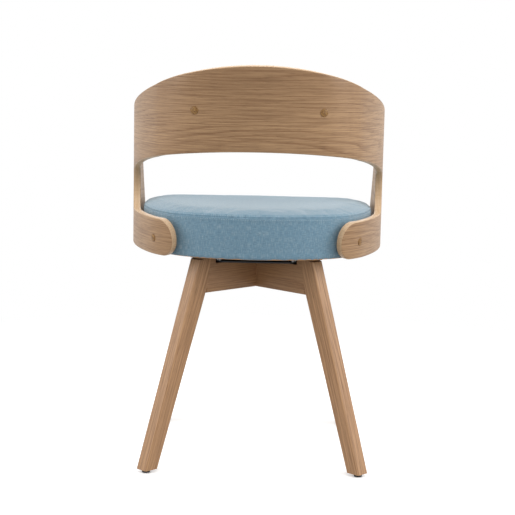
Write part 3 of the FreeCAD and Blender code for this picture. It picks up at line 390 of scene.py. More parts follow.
def unroll(points):
    """Girth, height and depth of points in the bent back, as three arrays."""
    x, y, z = np.abs(points[:, 0]), points[:, 1], points[:, 2]
    rise = (z - BACK_LOW) / (BACK_HIGH - BACK_LOW)
    rear = FOOT_REAR + (TOP_REAR - FOOT_REAR) * rise
    side = FOOT_SIDE + (TOP_SIDE - FOOT_SIDE) * rise
    start = BACK_REAR + BACK_LEAN * rise
    corner_x = (rear - CORNER_RADIUS) * math.sin(REAR_TURN)
    corner_y = start - rear + (rear - CORNER_RADIUS) * math.cos(REAR_TURN)
    side_x = corner_x + (CORNER_RADIUS - side) * math.sin(CORNER_TURN)
    side_y = corner_y + (CORNER_RADIUS - side) * math.cos(CORNER_TURN)
    turn = np.arctan2(x, y - start + rear)
    depth = rear - np.hypot(x, y - start + rear)
    in_corner = turn > REAR_TURN
    corner_turn = np.arctan2(x - corner_x, y - corner_y)
    turn = np.where(in_corner, corner_turn, turn)
    depth = np.where(in_corner, CORNER_RADIUS - np.hypot(x - corner_x, y - corner_y), depth)
    in_side = in_corner & (corner_turn > CORNER_TURN)
    turn = np.where(in_side, np.arctan2(x - side_x, y - side_y), turn)
    depth = np.where(in_side, side - np.hypot(x - side_x, y - side_y), depth)
    girth = FOOT_REAR * np.minimum(turn, REAR_TURN)
    girth += CORNER_RADIUS * np.clip(turn - REAR_TURN, 0, CORNER_TURN - REAR_TURN)
    girth += FOOT_SIDE * np.maximum(turn - CORNER_TURN, 0)
    lean = np.arctan(BACK_LEAN * np.cos(turn) / (BACK_HIGH - BACK_LOW))
    return np.copysign(girth, points[:, 0]), z, depth * np.cos(lean)


# %% Back as one wooden sheet
def new_piece(name, shape, material, body):
    """A scene object from a bmesh, riding on a CAD body."""
    mesh = bpy.data.meshes.new(name)
    shape.to_mesh(mesh)
    shape.free()
    piece = bpy.data.objects.new(name, mesh)
    bpy.context.scene.collection.objects.link(piece)
    if material is not None:
        finish_with(piece, material)
    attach(piece, body)
    return piece


def copy_of(node):
    """A bmesh of a CAD node, with the loose triangles joined."""
    shape = bmesh.new()
    shape.from_mesh(nodes[node].data)
    bmesh.ops.remove_doubles(shape, verts=shape.verts, dist=0.002 * MM)
    return shape


def vertex_array(mesh):
    """Places of a mesh's vertices as an array."""
    flat = np.zeros(len(mesh.vertices) * 3)
    mesh.vertices.foreach_get("co", flat)
    return flat.reshape(-1, 3)


back_shape = copy_of("back_shell")
for edge in back_shape.edges:
    edge.smooth = edge.is_manifold and edge.calc_face_angle() < math.radians(25)
for face in back_shape.faces:
    face.smooth = True
back = new_piece("bent_oak_back", back_shape, None, "seat")
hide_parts("back_shell")
girth, height, depth = unroll(vertex_array(back.data))
print("back: depth from", round(depth.min() / MM, 2), "to", round(depth.max() / MM, 2), "mm")
unrolled = back.data.uv_layers.new(name="unrolled")
ply_depth = back.data.attributes.new("ply_depth", "FLOAT", "POINT")
ply_depth.data.foreach_set("value", depth)
corner_vertex = np.zeros(len(back.data.loops), int)
back.data.loops.foreach_get("vertex_index", corner_vertex)
uv = np.stack([girth[corner_vertex], height[corner_vertex]], axis=1)
unrolled.data.foreach_set("uv", uv.ravel())

# %% [markdown]
# ## Bent back: veneer and layers
#
# Ten layers of oak and beech veneer, 1.4 mm each, show at every edge of the sheet as
# fine lines. The two faces carry oak veneer 0.7 mm thick. Depth under the face decides
# which of the two a point shows, so the rounded edges cut through the face veneer
# exactly as a router does.

# %% Plywood material
FACE_VENEER = 0.7 * MM
LAYER = 1.4 * MM
SHEET_SHIFT = (1.37, 0.055, 0)         # the part of the veneer's pattern that the back shows
bent_ply, tree, shader = new_material("lacquered_oak_plywood")
flat = add_node(tree, "ShaderNodeUVMap", uv_map="unrolled")
shift = add_node(tree, "ShaderNodeMapping", {"Vector": flat, "Location": SHEET_SHIFT})
veneer = oak(tree, shader, shift, OAK_TONES, SHEET_RINGS)
layer = add_node(tree, "ShaderNodeAttribute", attribute_name="ply_depth")
stack = add_node(tree, "ShaderNodeMath", {0: layer.outputs["Fac"], 1: 1 / LAYER}, operation="MULTIPLY")
within = add_node(tree, "ShaderNodeMath", {0: stack}, operation="FRACT")
number = add_node(tree, "ShaderNodeMath", {0: stack}, operation="FLOOR")
odd = add_node(tree, "ShaderNodeMath", {0: number, 1: 2.0}, operation="FLOORED_MODULO")
glue_low = add_node(tree, "ShaderNodeMapRange", {"Value": within, "From Min": 0.0, "From Max": 0.2,
                                                 "To Min": 1.0, "To Max": 0.0})
glue_high = add_node(tree, "ShaderNodeMapRange", {"Value": within, "From Min": 0.85, "From Max": 1.0})
glue = add_node(tree, "ShaderNodeMath", {0: glue_low, 1: glue_high}, operation="MAXIMUM")
edge_fibre = add_node(tree, "ShaderNodeMapping", {"Vector": flat, "Scale": (900, 900, 1)})
fibre = add_node(tree, "ShaderNodeTexNoise", {"Vector": edge_fibre, "Scale": 1.0, "Detail": 2})
mottled = add_node(tree, "ShaderNodeMapRange", {"Value": fibre, "From Min": 0.3, "From Max": 0.7,
                                                "To Min": 0.0, "To Max": 0.5})
pale = blend(tree, odd, linear("#e0c6a3"), linear("#c9a57c"))
pale = blend(tree, mottled, pale, linear("#b08b65"))
lined = blend(tree, glue, pale, linear("#8a6645"))
under_front = add_node(tree, "ShaderNodeMath", {0: layer.outputs["Fac"], 1: FACE_VENEER},
                       operation="GREATER_THAN")
under_back = add_node(tree, "ShaderNodeMath", {0: layer.outputs["Fac"], 1: PLY - FACE_VENEER},
                      operation="LESS_THAN")
inside = add_node(tree, "ShaderNodeMath", {0: under_front, 1: under_back}, operation="MULTIPLY")
whole = blend(tree, inside, veneer, lined)
feed(tree, shader, {"Base Color": whole})
finish_with(back, bent_ply)
print("plywood:", round(PLY / LAYER), "layers")

# %% [markdown]
# ## Seat cushion: the form
#
# The seat is a boxed cushion: a block of foam under a side band and a top panel, sewn
# together along a seam near the top. Its plan follows the bent back with a small gap
# and closes with a nearly straight front. One half of each outline is spun arc by arc
# from a single vertex, the outlines are bridged from the fold under the batten round the
# foot and up to the crown, and a mirror makes the other half.

# %% Outlines of the seat
SEAT_GAP = 3 * MM
SEAT_FRONT = 248 * MM
SIDE_END, FRONT_END = math.radians(96), math.radians(170)
SEAT_FOOT = 395.5 * MM
SEAM_HEIGHT = 472.5 * MM
SEAT_TILT = math.radians(0.9)
SEAT_REAR = BACK_REAR - PLY - SEAT_GAP
SEAT_TURNS = (0, REAR_TURN, CORNER_TURN, SIDE_END, FRONT_END, math.pi)
OUTLINE_STEP = 8 * MM


def seat_radii():
    """Radii of the arcs of half the seat's plan, from the middle of the rear to the front."""
    inset = PLY + SEAT_GAP
    radii = [FOOT_REAR - inset, CORNER_RADIUS - inset, FOOT_SIDE - inset]
    x, y = 0.0, SEAT_REAR
    for radius, begin, end in zip(radii, SEAT_TURNS, SEAT_TURNS[1:]):
        x += radius * (math.sin(end) - math.sin(begin))
        y -= radius * (math.cos(begin) - math.cos(end))
    deep = SEAT_FRONT + y
    a, b = math.sin(SIDE_END) - math.sin(FRONT_END), math.sin(FRONT_END)
    c, d = math.cos(SIDE_END) - math.cos(FRONT_END), math.cos(FRONT_END) + 1
    share = a * d - b * c
    return radii + [(x * d - b * deep) / share, (a * deep - x * c) / share]


def half_outline(shape, inset, height):
    """Half a plan of the seat, set in from its edge, as a chain of edges spun arc by arc."""
    tip = shape.verts.new((0, SEAT_REAR - inset, height))
    for radius, begin, end in zip(seat_radii(), SEAT_TURNS, SEAT_TURNS[1:]):
        out = Vector((math.sin(begin), math.cos(begin), 0))
        steps = max(2, round((radius - inset) * (end - begin) / OUTLINE_STEP))
        spun = bmesh.ops.spin(shape, geom=[tip], cent=tip.co - out * (radius - inset), axis=(0, 0, -1),
                              angle=end - begin, steps=steps, use_duplicate=False)
        tip = [item for item in spun["geom_last"] if isinstance(item, bmesh.types.BMVert)][0]


print("radii of half the seat's plan in mm:", [round(radius / MM, 1) for radius in seat_radii()])

# %% Cushion blank
BAND_DRAW = 2 * MM            # the band is drawn in at the seam and at the foot
BLANK_INSET = 2.0 * MM        # the cloth swells back out by about this much
SHOULDER = [(0.0, -3.0), (0.8, 1.5), (2.0, 4.2), (4.2, 6.6), (8.0, 8.6), (14.0, 10.2), (25.0, 11.6)]
FOLD_WIDTH = 19               # the cloth is folded under the batten, up to the board
shape = bmesh.new()
# pairs of inset and rise in millimetres: the fold, the foot's edge, and the bowed band
sections = [(FOLD_WIDTH, 13.0), (FOLD_WIDTH, 7.0), (FOLD_WIDTH, 2.0), (FOLD_WIDTH - 2, -0.6)]
sections += [(6.0, -0.6), (0.0, -0.4), (-1.2, 1.5), (-1.0, 5.0)]
sections += [(0, step) for step in range(12, 73, 6)]
heights = [(inset * MM, SEAT_FOOT + rise * MM) for inset, rise in sections]
heights += [(inset * MM, SEAM_HEIGHT + rise * MM) for inset, rise in SHOULDER]
before = None
middle = (SEAT_FOOT + SEAM_HEIGHT) / 2
for inset, height in heights:
    known = set(shape.edges)
    bow = BAND_DRAW * min(1.0, ((height - middle) / (middle - SEAT_FOOT)) ** 2)
    half_outline(shape, BLANK_INSET + inset + bow, height)
    outline = [edge for edge in shape.edges if edge not in known]
    if before:
        bmesh.ops.bridge_loops(shape, edges=before + outline)
    before = outline
half = shape.verts[:] + shape.edges[:] + shape.faces[:]
bmesh.ops.mirror(shape, geom=half, axis="X", merge_dist=0.01 * MM)
bmesh.ops.remove_doubles(shape, verts=shape.verts, dist=0.02 * MM)
open_edges = [edge for edge in shape.edges if edge.is_boundary]
bmesh.ops.holes_fill(shape, edges=open_edges, sides=0)
bmesh.ops.triangulate(shape, faces=[face for face in shape.faces if len(face.verts) > 4])
# the whole top and seam fall a little towards the front
for vert in shape.verts:
    share = max(0.0, (vert.co.z - SEAT_FOOT) / (SEAM_HEIGHT - SEAT_FOOT))
    vert.co.z -= share * (SEAT_REAR - vert.co.y) * math.tan(SEAT_TILT)
bmesh.ops.recalc_face_normals(shape, faces=shape.faces)
open_count = sum(edge.is_boundary for edge in shape.edges)
print("cushion blank:", len(shape.verts), "vertices, open edges:", open_count)


# %% [markdown]
# ## Seat cushion: stuffing
#
# A cover is cut a little too small for its foam, and the foam's push is what makes a
# cushion look filled. The blank becomes an even net of squares, gets a cloth simulation
# with pressure inside and no gravity, and swells against its pinned seam and foot. How
# far each point may move is capped, because the foam block holds its size.

# %% Cloth simulation
def seam_height_at(y):
    """Height of the seam over a place along Y."""
    return SEAM_HEIGHT - (SEAT_REAR - y) * math.tan(SEAT_TILT)


def seam_level(points):
    """Height of points over the seam's tilted plane."""
    return points[:, 2] - seam_height_at(points[:, 1])


def stuffed(piece, voxel, pinned, pressure, cap, frames=20):
    """Remeshes a piece, inflates it as cloth with some points pinned, and applies the result."""
    bpy.context.view_layer.objects.active = piece
    piece.data.remesh_voxel_size = voxel
    piece.data.remesh_voxel_adaptivity = 0
    with bpy.context.temp_override(active_object=piece, object=piece, selected_objects=[piece]):
        bpy.ops.object.voxel_remesh()
    start = vertex_array(piece.data)
    held = piece.vertex_groups.new(name="held")
    held.add([int(i) for i in np.nonzero(pinned(start))[0]], 1.0, "REPLACE")
    cloth = piece.modifiers.new("cloth", "CLOTH")
    settings = cloth.settings
    settings.quality = 5
    settings.mass = 0.2
    settings.tension_stiffness = 20
    settings.compression_stiffness = 20
    settings.shear_stiffness = 10
    settings.bending_stiffness = 6
    settings.use_pressure = True
    settings.uniform_pressure_force = pressure
    settings.vertex_group_mass = "held"
    settings.effector_weights.gravity = 0
    cloth.collision_settings.use_self_collision = False
    scene = bpy.context.scene
    for count in range(1, frames + 1):
        scene.frame_set(count)
    graph = bpy.context.evaluated_depsgraph_get()
    swollen = piece.evaluated_get(graph)
    moved = vertex_array(swollen.data) - start
    piece.modifiers.remove(cloth)
    piece.vertex_groups.remove(held)
    scene.frame_set(1)
    length = np.linalg.norm(moved, axis=1)
    print(piece.name, "swelled by up to", round(length.max() / MM, 2), "mm")
    keep = cap * np.tanh(length / cap) / np.maximum(length, 1e-9)
    result = start + moved * keep[:, None]
    piece.data.vertices.foreach_set("co", result.ravel())
    piece.data.update()


cushion = new_piece("seat_cushion", shape, None, "seat")
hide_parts("seat_foam", "seat_cover_band", "seat_cover_top")


SEAM_HOLD = 2.6 * MM          # what lies nearer than this to the seam doesn't swell
FOOT_HOLD = 5 * MM


def seat_pins(points):
    """The seam, and the foot that is stapled under the board."""
    return (np.abs(seam_level(points)) < SEAM_HOLD) | (points[:, 2] < SEAT_FOOT + FOOT_HOLD)


def relax(shape):
    """Takes the steps that the remesh leaves out of a surface."""
    bmesh.ops.smooth_vert(shape, verts=shape.verts, factor=0.5, use_axis_x=True, use_axis_y=True,
                          use_axis_z=True)


stuffed(cushion, voxel=5 * MM, pinned=seat_pins, pressure=4.0, cap=3.5 * MM)

# %% [markdown]
# ## Seat cushion: seam, stitches and wool
#
# The top panel meets the band in a double-stitched seam: both layers are folded back
# and sewn down, one row of thread on each side. The remeshed cloth is too coarse for
# that, so parallel planes cut extra loops round the cushion at the seam, and the loops
# are moved in and out to fold the cloth. The cloth also draws up a little between
# stitches, which makes faint puckers that fade away from the seam.

# %% Seam in the cloth
# pairs of level over the seam and fold outwards, in millimetres, the same above and below
FOLDS = [(1.0, 0.35), (2.4, 0.55), (3.4, -0.15), (4.6, 0.45), (6.0, 0.15), (9.0, 0.0)]
SEAM_PROFILE = [(-level, fold) for level, fold in reversed(FOLDS)] + [(0.0, -1.1)] + FOLDS
STITCH_ROWS = (-3.4 * MM, 3.4 * MM)
TILT_NORMAL = Vector((0, -math.sin(SEAT_TILT), math.cos(SEAT_TILT)))
shape = bmesh.new()
shape.from_mesh(cushion.data)
relax(shape)
for level, _ in SEAM_PROFILE:
    on_plane = Vector((0, SEAT_REAR, SEAM_HEIGHT)) + TILT_NORMAL * level * MM
    everything = shape.verts[:] + shape.edges[:] + shape.faces[:]
    bmesh.ops.bisect_plane(shape, geom=everything, plane_co=on_plane, plane_no=TILT_NORMAL,
                           dist=0.25 * MM)
shape.normal_update()
levels = np.array([level for level, _ in SEAM_PROFILE]) * MM
folds = np.array([fold for _, fold in SEAM_PROFILE]) * MM
PUCKER = 0.35 * MM            # height of the small waves that the stitches draw up
PUCKER_LENGTH = 17 * MM
PUCKER_FADE = 11 * MM         # how far from the seam the waves reach
PUCKER_MIDDLE, PUCKER_RADIUS = -30 * MM, 220 * MM
PUCKER_WANDER, WANDER_RATE = 2.1, 41   # how unevenly the waves follow each other
moves = []
for vert in shape.verts:
    level = (vert.co - Vector((0, SEAT_REAR, SEAM_HEIGHT))).dot(TILT_NORMAL)
    around = math.atan2(vert.co.y - PUCKER_MIDDLE, vert.co.x) * PUCKER_RADIUS
    uneven = PUCKER_WANDER * math.sin(around * WANDER_RATE)
    wave = math.sin(around / PUCKER_LENGTH * 2 * math.pi + uneven)
    fade = math.exp(-(level / PUCKER_FADE) ** 2)
    fold = float(np.interp(level, levels, folds, left=0, right=0))
    moves.append(vert.normal * (fold + PUCKER * wave * fade))
for vert, move in zip(shape.verts, moves):
    vert.co += move
for face in shape.faces:
    face.smooth = True
shape.to_mesh(cushion.data)
shape.free()
print("cushion:", len(cushion.data.vertices), "vertices")


# %% [markdown]
# Thread: each stitch is a short capsule of thread, 3.2 mm long, set every 4.5 mm along
# the seam. The rows are found on the finished cushion itself, so they lie in its cloth.

# %% Topstitching
STITCH_SPACING, STITCH_LENGTH, STITCH_RADIUS = 4.5 * MM, 3.2 * MM, 0.42 * MM
LOOP_STEPS = 2880
SEAT_REACH, OUTSIDE = 210 * MM, 400 * MM


def seam_loop(piece, level):
    """Points and normals on a piece's surface along a level, in order round the axis."""
    surface = BVHTree.FromObject(piece, bpy.context.evaluated_depsgraph_get())
    points = []
    for step in range(LOOP_STEPS):
        turn = step / LOOP_STEPS * 2 * math.pi
        out = Vector((math.cos(turn), math.sin(turn), 0))
        guess = seam_height_at(out.y * SEAT_REACH) + level
        start = Vector((out.x * OUTSIDE, out.y * OUTSIDE, guess))
        hit, normal, _, _ = surface.ray_cast(start, -out)
        start.z = seam_height_at(hit.y) + level
        hit, normal, _, _ = surface.ray_cast(start, -out)
        points.append((hit, normal))
    return points


def stitch_row(shape, points, spacing, length, radius):
    """Adds a capsule of thread at every spacing along a closed row of points."""
    gone = 0.0
    due = 0.0
    count = 0
    for (here, normal), (there, _) in zip(points, points[1:] + points[:1]):
        step = there - here
        while due < gone + step.length:
            spot = here.lerp(there, (due - gone) / step.length)
            along = step.normalized()
            out = (normal - along * normal.dot(along)).normalized()
            axes = Matrix((along, out.cross(along), out)).transposed().to_4x4()
            place = Matrix.Translation(spot + out * radius * 0.35) @ axes
            stretch = Matrix.Diagonal((length / 2, radius, radius * 0.8, 1))
            bmesh.ops.create_icosphere(shape, subdivisions=1, radius=1.0, matrix=place @ stretch)
            due += spacing
            count += 1
        gone += step.length
    return count


thread_shape = bmesh.new()
count = 0
for level in STITCH_ROWS:
    row = seam_loop(cushion, level)
    count += stitch_row(thread_shape, row, STITCH_SPACING, STITCH_LENGTH, STITCH_RADIUS)
for face in thread_shape.faces:
    face.smooth = True
print("stitches:", count)

# %% [markdown]
# ## Wool cloth
#
# The cover is a plain-woven wool felted a little on the surface. Its yarn is spun from
# fibres dyed sky-blue, pale grey and slate, so no two threads have the same tone.
# Panels are cut with the weave square to their edges: the top follows the seat's width
# and depth, and the band runs round it. A UV map in metres carries both. The threads are
# 1.15 mm apart. Loose fibres stand up from wool and catch light at a glance, which is
# sheen.

# %% Cloth map
CLOTH_MIDDLE, CLOTH_RADIUS = -35 * MM, 222 * MM
TOP_PANEL = 3.0               # metres between the map's places for the band and the top


def map_cloth(piece, coordinates):
    """Writes a UV map of cloth coordinates, given for each corner's point and its face's middle."""
    mesh = piece.data
    layer = mesh.uv_layers.new(name="cloth")
    points = vertex_array(mesh)
    corner = np.zeros(len(mesh.loops), int)
    mesh.loops.foreach_get("vertex_index", corner)
    sides = np.zeros(len(mesh.polygons), int)
    mesh.polygons.foreach_get("loop_total", sides)
    centre = np.zeros(len(mesh.polygons) * 3)
    mesh.polygons.foreach_get("center", centre)
    face_centre = np.repeat(centre.reshape(-1, 3), sides, axis=0)
    layer.data.foreach_set("uv", coordinates(points[corner], face_centre).ravel())


def seat_cloth(points, middles):
    """Top panel in plan, and the band unrolled round the seat."""
    turn = np.arctan2(points[:, 0], points[:, 1] - CLOTH_MIDDLE)
    turn_middle = np.arctan2(middles[:, 0], middles[:, 1] - CLOTH_MIDDLE)
    turn = turn_middle + (turn - turn_middle + math.pi) % (2 * math.pi) - math.pi
    band = np.stack([turn * CLOTH_RADIUS, points[:, 2]], axis=1)
    top = points[:, :2] + TOP_PANEL
    is_top = seam_level(middles) > 0
    return np.where(is_top[:, None], top, band)


map_cloth(cushion, seat_cloth)
print("cloth map:", len(cushion.data.loops), "corners")

# %% Wool material
THREAD = 1.15 * MM


def wool(name, tones):
    """Plain-woven mixed wool that reads the cloth map."""
    material, tree, shader = new_material(name)
    blue, pale, slate, deep = [linear(tone) for tone in tones]
    cloth = add_node(tree, "ShaderNodeUVMap", uv_map="cloth")
    threads = add_node(tree, "ShaderNodeMapping", {"Vector": cloth,
                                                   "Scale": (1 / THREAD, 1 / THREAD, 1)})
    # each thread wanders a little
    wander = add_node(tree, "ShaderNodeTexNoise", {"Vector": threads, "Scale": 0.35, "Detail": 1})
    bent = add_node(tree, "ShaderNodeVectorMath", {0: wander.outputs["Color"], 1: threads},
                    operation="ADD")
    apart = add_node(tree, "ShaderNodeSeparateXYZ", {0: bent})
    warp = add_node(tree, "ShaderNodeMath", {0: apart.outputs[0], 1: math.pi}, operation="MULTIPLY")
    weft = add_node(tree, "ShaderNodeMath", {0: apart.outputs[1], 1: math.pi}, operation="MULTIPLY")
    warp = add_node(tree, "ShaderNodeMath", {0: warp}, operation="SINE")
    weft = add_node(tree, "ShaderNodeMath", {0: weft}, operation="SINE")
    over = add_node(tree, "ShaderNodeMath", {0: warp, 1: weft}, operation="MULTIPLY")
    knuckle = add_node(tree, "ShaderNodeMath", {0: over}, operation="ABSOLUTE")
    # fibres of three tones: long along the warp and along the weft
    along_warp = add_node(tree, "ShaderNodeMapping", {"Vector": threads, "Scale": (0.9, 0.11, 1)})
    along_weft = add_node(tree, "ShaderNodeMapping", {"Vector": threads, "Scale": (0.13, 0.9, 1)})
    warp_tone = add_node(tree, "ShaderNodeTexNoise", {"Vector": along_warp, "Scale": 1.0, "Detail": 2.5})
    weft_tone = add_node(tree, "ShaderNodeTexNoise", {"Vector": along_weft, "Scale": 1.0, "Detail": 2.5})
    pale_share = add_node(tree, "ShaderNodeMapRange", {"Value": warp_tone, "From Min": 0.47,
                                                       "From Max": 0.66, "To Min": 0.0, "To Max": 0.6})
    slate_share = add_node(tree, "ShaderNodeMapRange", {"Value": weft_tone, "From Min": 0.45,
                                                        "From Max": 0.66, "To Min": 0.0, "To Max": 0.6})
    colour = blend(tree, pale_share, blue, pale)
    colour = blend(tree, slate_share, colour, slate)
    hollow = add_node(tree, "ShaderNodeMapRange", {"Value": knuckle, "From Min": 0.0, "From Max": 0.5,
                                                   "To Min": 0.35, "To Max": 0.0})
    colour = blend(tree, hollow, colour, deep)
    feed(tree, shader, {"Base Color": colour})
    fuzz = add_node(tree, "ShaderNodeTexNoise", {"Vector": threads, "Scale": 2.3, "Detail": 2})
    height = add_node(tree, "ShaderNodeMath", {0: fuzz, 1: 0.5, 2: knuckle}, operation="MULTIPLY_ADD")
    relief = add_node(tree, "ShaderNodeBump", {"Height": height, "Strength": 0.5, "Distance": 0.25 * MM})
    feed(tree, shader, {"Normal": relief, "Roughness": 0.92, "Specular IOR Level": 0.25,
                        "Sheen Weight": 0.6, "Sheen Roughness": 0.5, "Sheen Tint": linear("#f0ebe4")})
    return material


# yarn, pale fibres, slate fibres, shade between the threads
blue_wool = wool("woven_mixed_wool", ("#7a9fb5", "#afc3cd", "#618397", "#456173"))
finish_with(cushion, blue_wool)

sewing_thread = speckled("polyester_sewing_thread", ("#9db8c6", "#cbd8df"),
                         {"Scale": 900, "Detail": 1}, roughness=0.55)
new_piece("seat_topstitching", thread_shape, sewing_thread, "seat")
print("threads over a centimetre of cloth:", round(10 * MM / THREAD, 1))

# %% [markdown]
# ## Back pad
#
# A low pad on the inner side of the back rest is covered in the same wool. It starts
# from the CAD foam, becomes an even net, and swells against its board like the seat.

# %% Back pad
pad_foam = copy_of("back_pad_foam")
pad = new_piece("back_pad", pad_foam, None, "seat")
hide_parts("back_pad_foam", "back_pad_cover")
PAD_BOARD_FACE = PLY + 9 * MM
PAD_HOLD = 5 * MM             # the pad's foam nearer than this to its board doesn't swell
COVER = 1.6 * MM              # the cloth's own thickness over the foam
COVER_START = 3 * MM          # it starts at the board's face and is full at this rise


def pad_pins(points):
    """The edge that is stapled to the pad's board."""
    return unroll(points)[2] < PAD_BOARD_FACE + PAD_HOLD


stuffed(pad, voxel=4 * MM, pinned=pad_pins, pressure=5.0, cap=2.2 * MM)
shape = bmesh.new()
shape.from_mesh(pad.data)
relax(shape)
shape.normal_update()
for vert in shape.verts:
    rise = unroll(np.array([vert.co]))[2][0] - PAD_BOARD_FACE
    vert.co += vert.normal * COVER * min(1.0, max(0.0, rise / COVER_START))
for face in shape.faces:
    face.smooth = True
shape.to_mesh(pad.data)
shape.free()


def pad_cloth(points, middles):
    """The pad's cloth unrolled with the bent back."""
    girth, height, depth = unroll(points)
    return np.stack([girth, height + depth], axis=1)


map_cloth(pad, pad_cloth)
finish_with(pad, blue_wool)
print("back pad:", len(pad.data.vertices), "vertices")

# %% [markdown]
# ## Under the seat
#
# A black non-woven cloth closes the underside, inside the batten round the board's edge.
# It hangs a hair lower between its edge and the swivel plate.

# %% Dust cloth
felt = speckled("black_non_woven_polypropylene", ("#141414", "#2e2e30"),
                {"Scale": 1400, "Detail": 3, "Distortion": 1.5}, roughness=0.9,
                relief=(0.4, 0.1 * MM))
cloth_shape = copy_of("dust_cover")
low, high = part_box("dust_cover")
CUTS = 26                     # the cloth's net across and along
for axis in (0, 1):
    normal = Vector((axis == 0, axis == 1, 0))
    for step in range(1, CUTS):
        on_plane = normal * (low[axis] + (high[axis] - low[axis]) * step / CUTS)
        everything = cloth_shape.verts[:] + cloth_shape.edges[:] + cloth_shape.faces[:]
        bmesh.ops.bisect_plane(cloth_shape, geom=everything, plane_co=on_plane, plane_no=normal,
                               dist=0.01 * MM)
SAG, SAG_START, SAG_WIDTH = 1.4 * MM, 95 * MM, 55 * MM
for vert in cloth_shape.verts:
    if vert.co.z < (low.z + high.z) / 2:
        radius = math.hypot(vert.co.x, vert.co.y)
        share = min(1.0, max(0.0, (radius - SAG_START) / SAG_WIDTH))
        vert.co.z -= SAG * math.sin(share * math.pi) ** 2
under_cloth = new_piece("underside_cloth", cloth_shape, felt, "seat")
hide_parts("dust_cover")
print("dust cloth:", len(under_cloth.data.vertices), "vertices")

# %% [markdown]
# ## Fittings
#
# The swivel's plates and rings are steel with a black powder coat, which dries with a
# fine orange peel. Screws, balls and pin are zinc-plated, the glides and the ball cage
# are moulded nylon, and the caps are turned oak plugs stained brown. The CAD solids
# already have the right shape, so each only gets a finish with the specks of its kind.

# %% Metal and nylon
powder_coat = speckled("black_powder_coated_steel", ("#0b0b0b", "#181818"),
                       {"Scale": 700, "Detail": 2}, roughness=0.55, relief=(0.3, 0.08 * MM))
nylon = speckled("black_moulded_nylon", ("#101010", "#1e1e1e"), {"Scale": 1500}, roughness=0.6,
                 relief=(0.3, 0.05 * MM), kind="ShaderNodeTexVoronoi")
zinc, tree, shader = new_material("zinc_plated_steel")
place = add_node(tree, "ShaderNodeTexCoord")
spangle = add_node(tree, "ShaderNodeTexNoise", {"Vector": place.outputs["Object"], "Scale": 260,
                                                "Detail": 2})
rough = add_node(tree, "ShaderNodeMapRange", {"Value": spangle, "To Min": 0.22, "To Max": 0.45})
tone = blend(tree, spangle, linear("#b9bcc0"), linear("#cfcfca"))
feed(tree, shader, {"Base Color": tone, "Roughness": rough, "Metallic": 1.0})
print("finishes so far:", len(bpy.data.materials))

# %% Plugs, birch and beech
# turned plugs of brown oak, cut across the grain: rings of pores seen from their ends
plug, tree, shader = new_material("stained_oak_plug")
place = add_node(tree, "ShaderNodeTexCoord")
ends = add_node(tree, "ShaderNodeTexNoise", {"Vector": place.outputs["Object"], "Scale": 480,
                                             "Detail": 2.5})
dark_share = add_node(tree, "ShaderNodeMapRange", {"Value": ends, "From Min": 0.4, "From Max": 0.62})
tone = blend(tree, dark_share, linear("#a2793f"), linear("#6b4720"))
relief = add_node(tree, "ShaderNodeBump", {"Height": ends, "Strength": 0.3, "Distance": 0.15 * MM})
feed(tree, shader, {"Base Color": tone, "Normal": relief, "Roughness": 0.45})

# birch plywood: the faces show pale veneer, and the edges its layers, 1.5 mm each
birch, tree, shader = new_material("birch_plywood")
place = add_node(tree, "ShaderNodeTexCoord")
along = add_node(tree, "ShaderNodeMapping", {"Vector": place.outputs["Object"], "Scale": (3, 60, 60)})
figure = add_node(tree, "ShaderNodeTexNoise", {"Vector": along, "Scale": 1.0, "Detail": 3})
height = add_node(tree, "ShaderNodeSeparateXYZ", {0: place.outputs["Object"]})
layers = add_node(tree, "ShaderNodeMath", {0: height.outputs[2], 1: math.pi / (1.5 * MM)},
                  operation="MULTIPLY")
layers = add_node(tree, "ShaderNodeMath", {0: layers}, operation="SINE")
striped = blend(tree, figure, linear("#d9c19c"), linear("#c2a47c"))
dark_layer = add_node(tree, "ShaderNodeMapRange", {"Value": layers, "From Min": 0.2, "To Max": 0.35})
striped = blend(tree, dark_layer, striped, linear("#9a7a54"))
feed(tree, shader, {"Base Color": striped, "Roughness": 0.6})

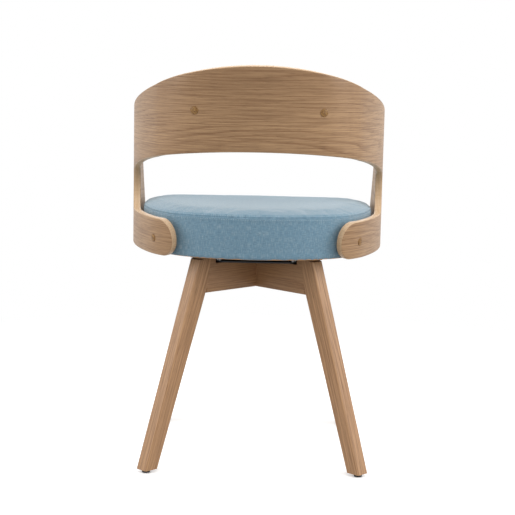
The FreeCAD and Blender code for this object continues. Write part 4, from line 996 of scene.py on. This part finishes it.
beech, tree, shader = new_material("planed_beech")
place = add_node(tree, "ShaderNodeTexCoord")
along = add_node(tree, "ShaderNodeMapping", {"Vector": place.outputs["Object"], "Scale": (8, 90, 90)})
figure = add_node(tree, "ShaderNodeTexNoise", {"Vector": along, "Scale": 1.0, "Detail": 3})
tone = blend(tree, figure, linear("#d3a980"), linear("#b98a60"))
feed(tree, shader, {"Base Color": tone, "Roughness": 0.6})
print("finishes in all:", len(bpy.data.materials))

# %% [markdown]
# ## Staples
#
# The seat's cover is folded under the batten and stapled: wire crowns 10 mm long,
# pressed into the cloth every 32 mm round the seat.

# %% Staples
STAPLE_INSET, STAPLE_STEP = 13 * MM, 4
STAPLE = Vector((10, 0.9, 0.7)) * MM
staple_shape = bmesh.new()
path = bmesh.new()
half_outline(path, STAPLE_INSET, SEAT_FOOT - STAPLE.y)
path.verts.ensure_lookup_table()
spots = [vert.co.copy() for vert in path.verts]
path.free()
for here, there in list(zip(spots, spots[1:]))[2::STAPLE_STEP]:
    for mirror in (1, -1):
        middle = (here + there) / 2
        along = there - here
        turned = Matrix.Rotation(math.atan2(along.y, along.x * mirror), 4, "Z")
        spot = Matrix.Translation((middle.x * mirror, middle.y, middle.z)) @ turned
        bmesh.ops.create_cube(staple_shape, size=1.0, matrix=spot @ Matrix.Diagonal(STAPLE.to_4d()))
print("staples:", len(staple_shape.faces) // 6)
new_piece("cover_staples", staple_shape, zinc, "seat")

# %% Finish of each CAD piece that stays
FITTINGS = {
    powder_coat: ("swivel_lower_plate", "swivel_upper_plate", "race_ring_lower", "race_ring_upper"),
    zinc: ("bearing_balls", "kingpin", "kingpin_washer", "lower_plate_screws", "upper_plate_bolts",
           "seat_insert_nuts", "seat_screws", "rest_screws"),
    nylon: ("ball_cage", "glide_rear_left", "glide_rear_right", "glide_front_right", "glide_front_left"),
    plug: ("seat_screw_caps", "rest_screw_caps"),
    birch: ("seat_board", "back_pad_board"),
    beech: ("mounting_blocks", "leg_dowels", "seat_rim"),
}
for material, names in FITTINGS.items():
    for name in names:
        finish_with(nodes[name], material)
print("CAD pieces with these finishes:", sum(len(names) for names in FITTINGS.values()))
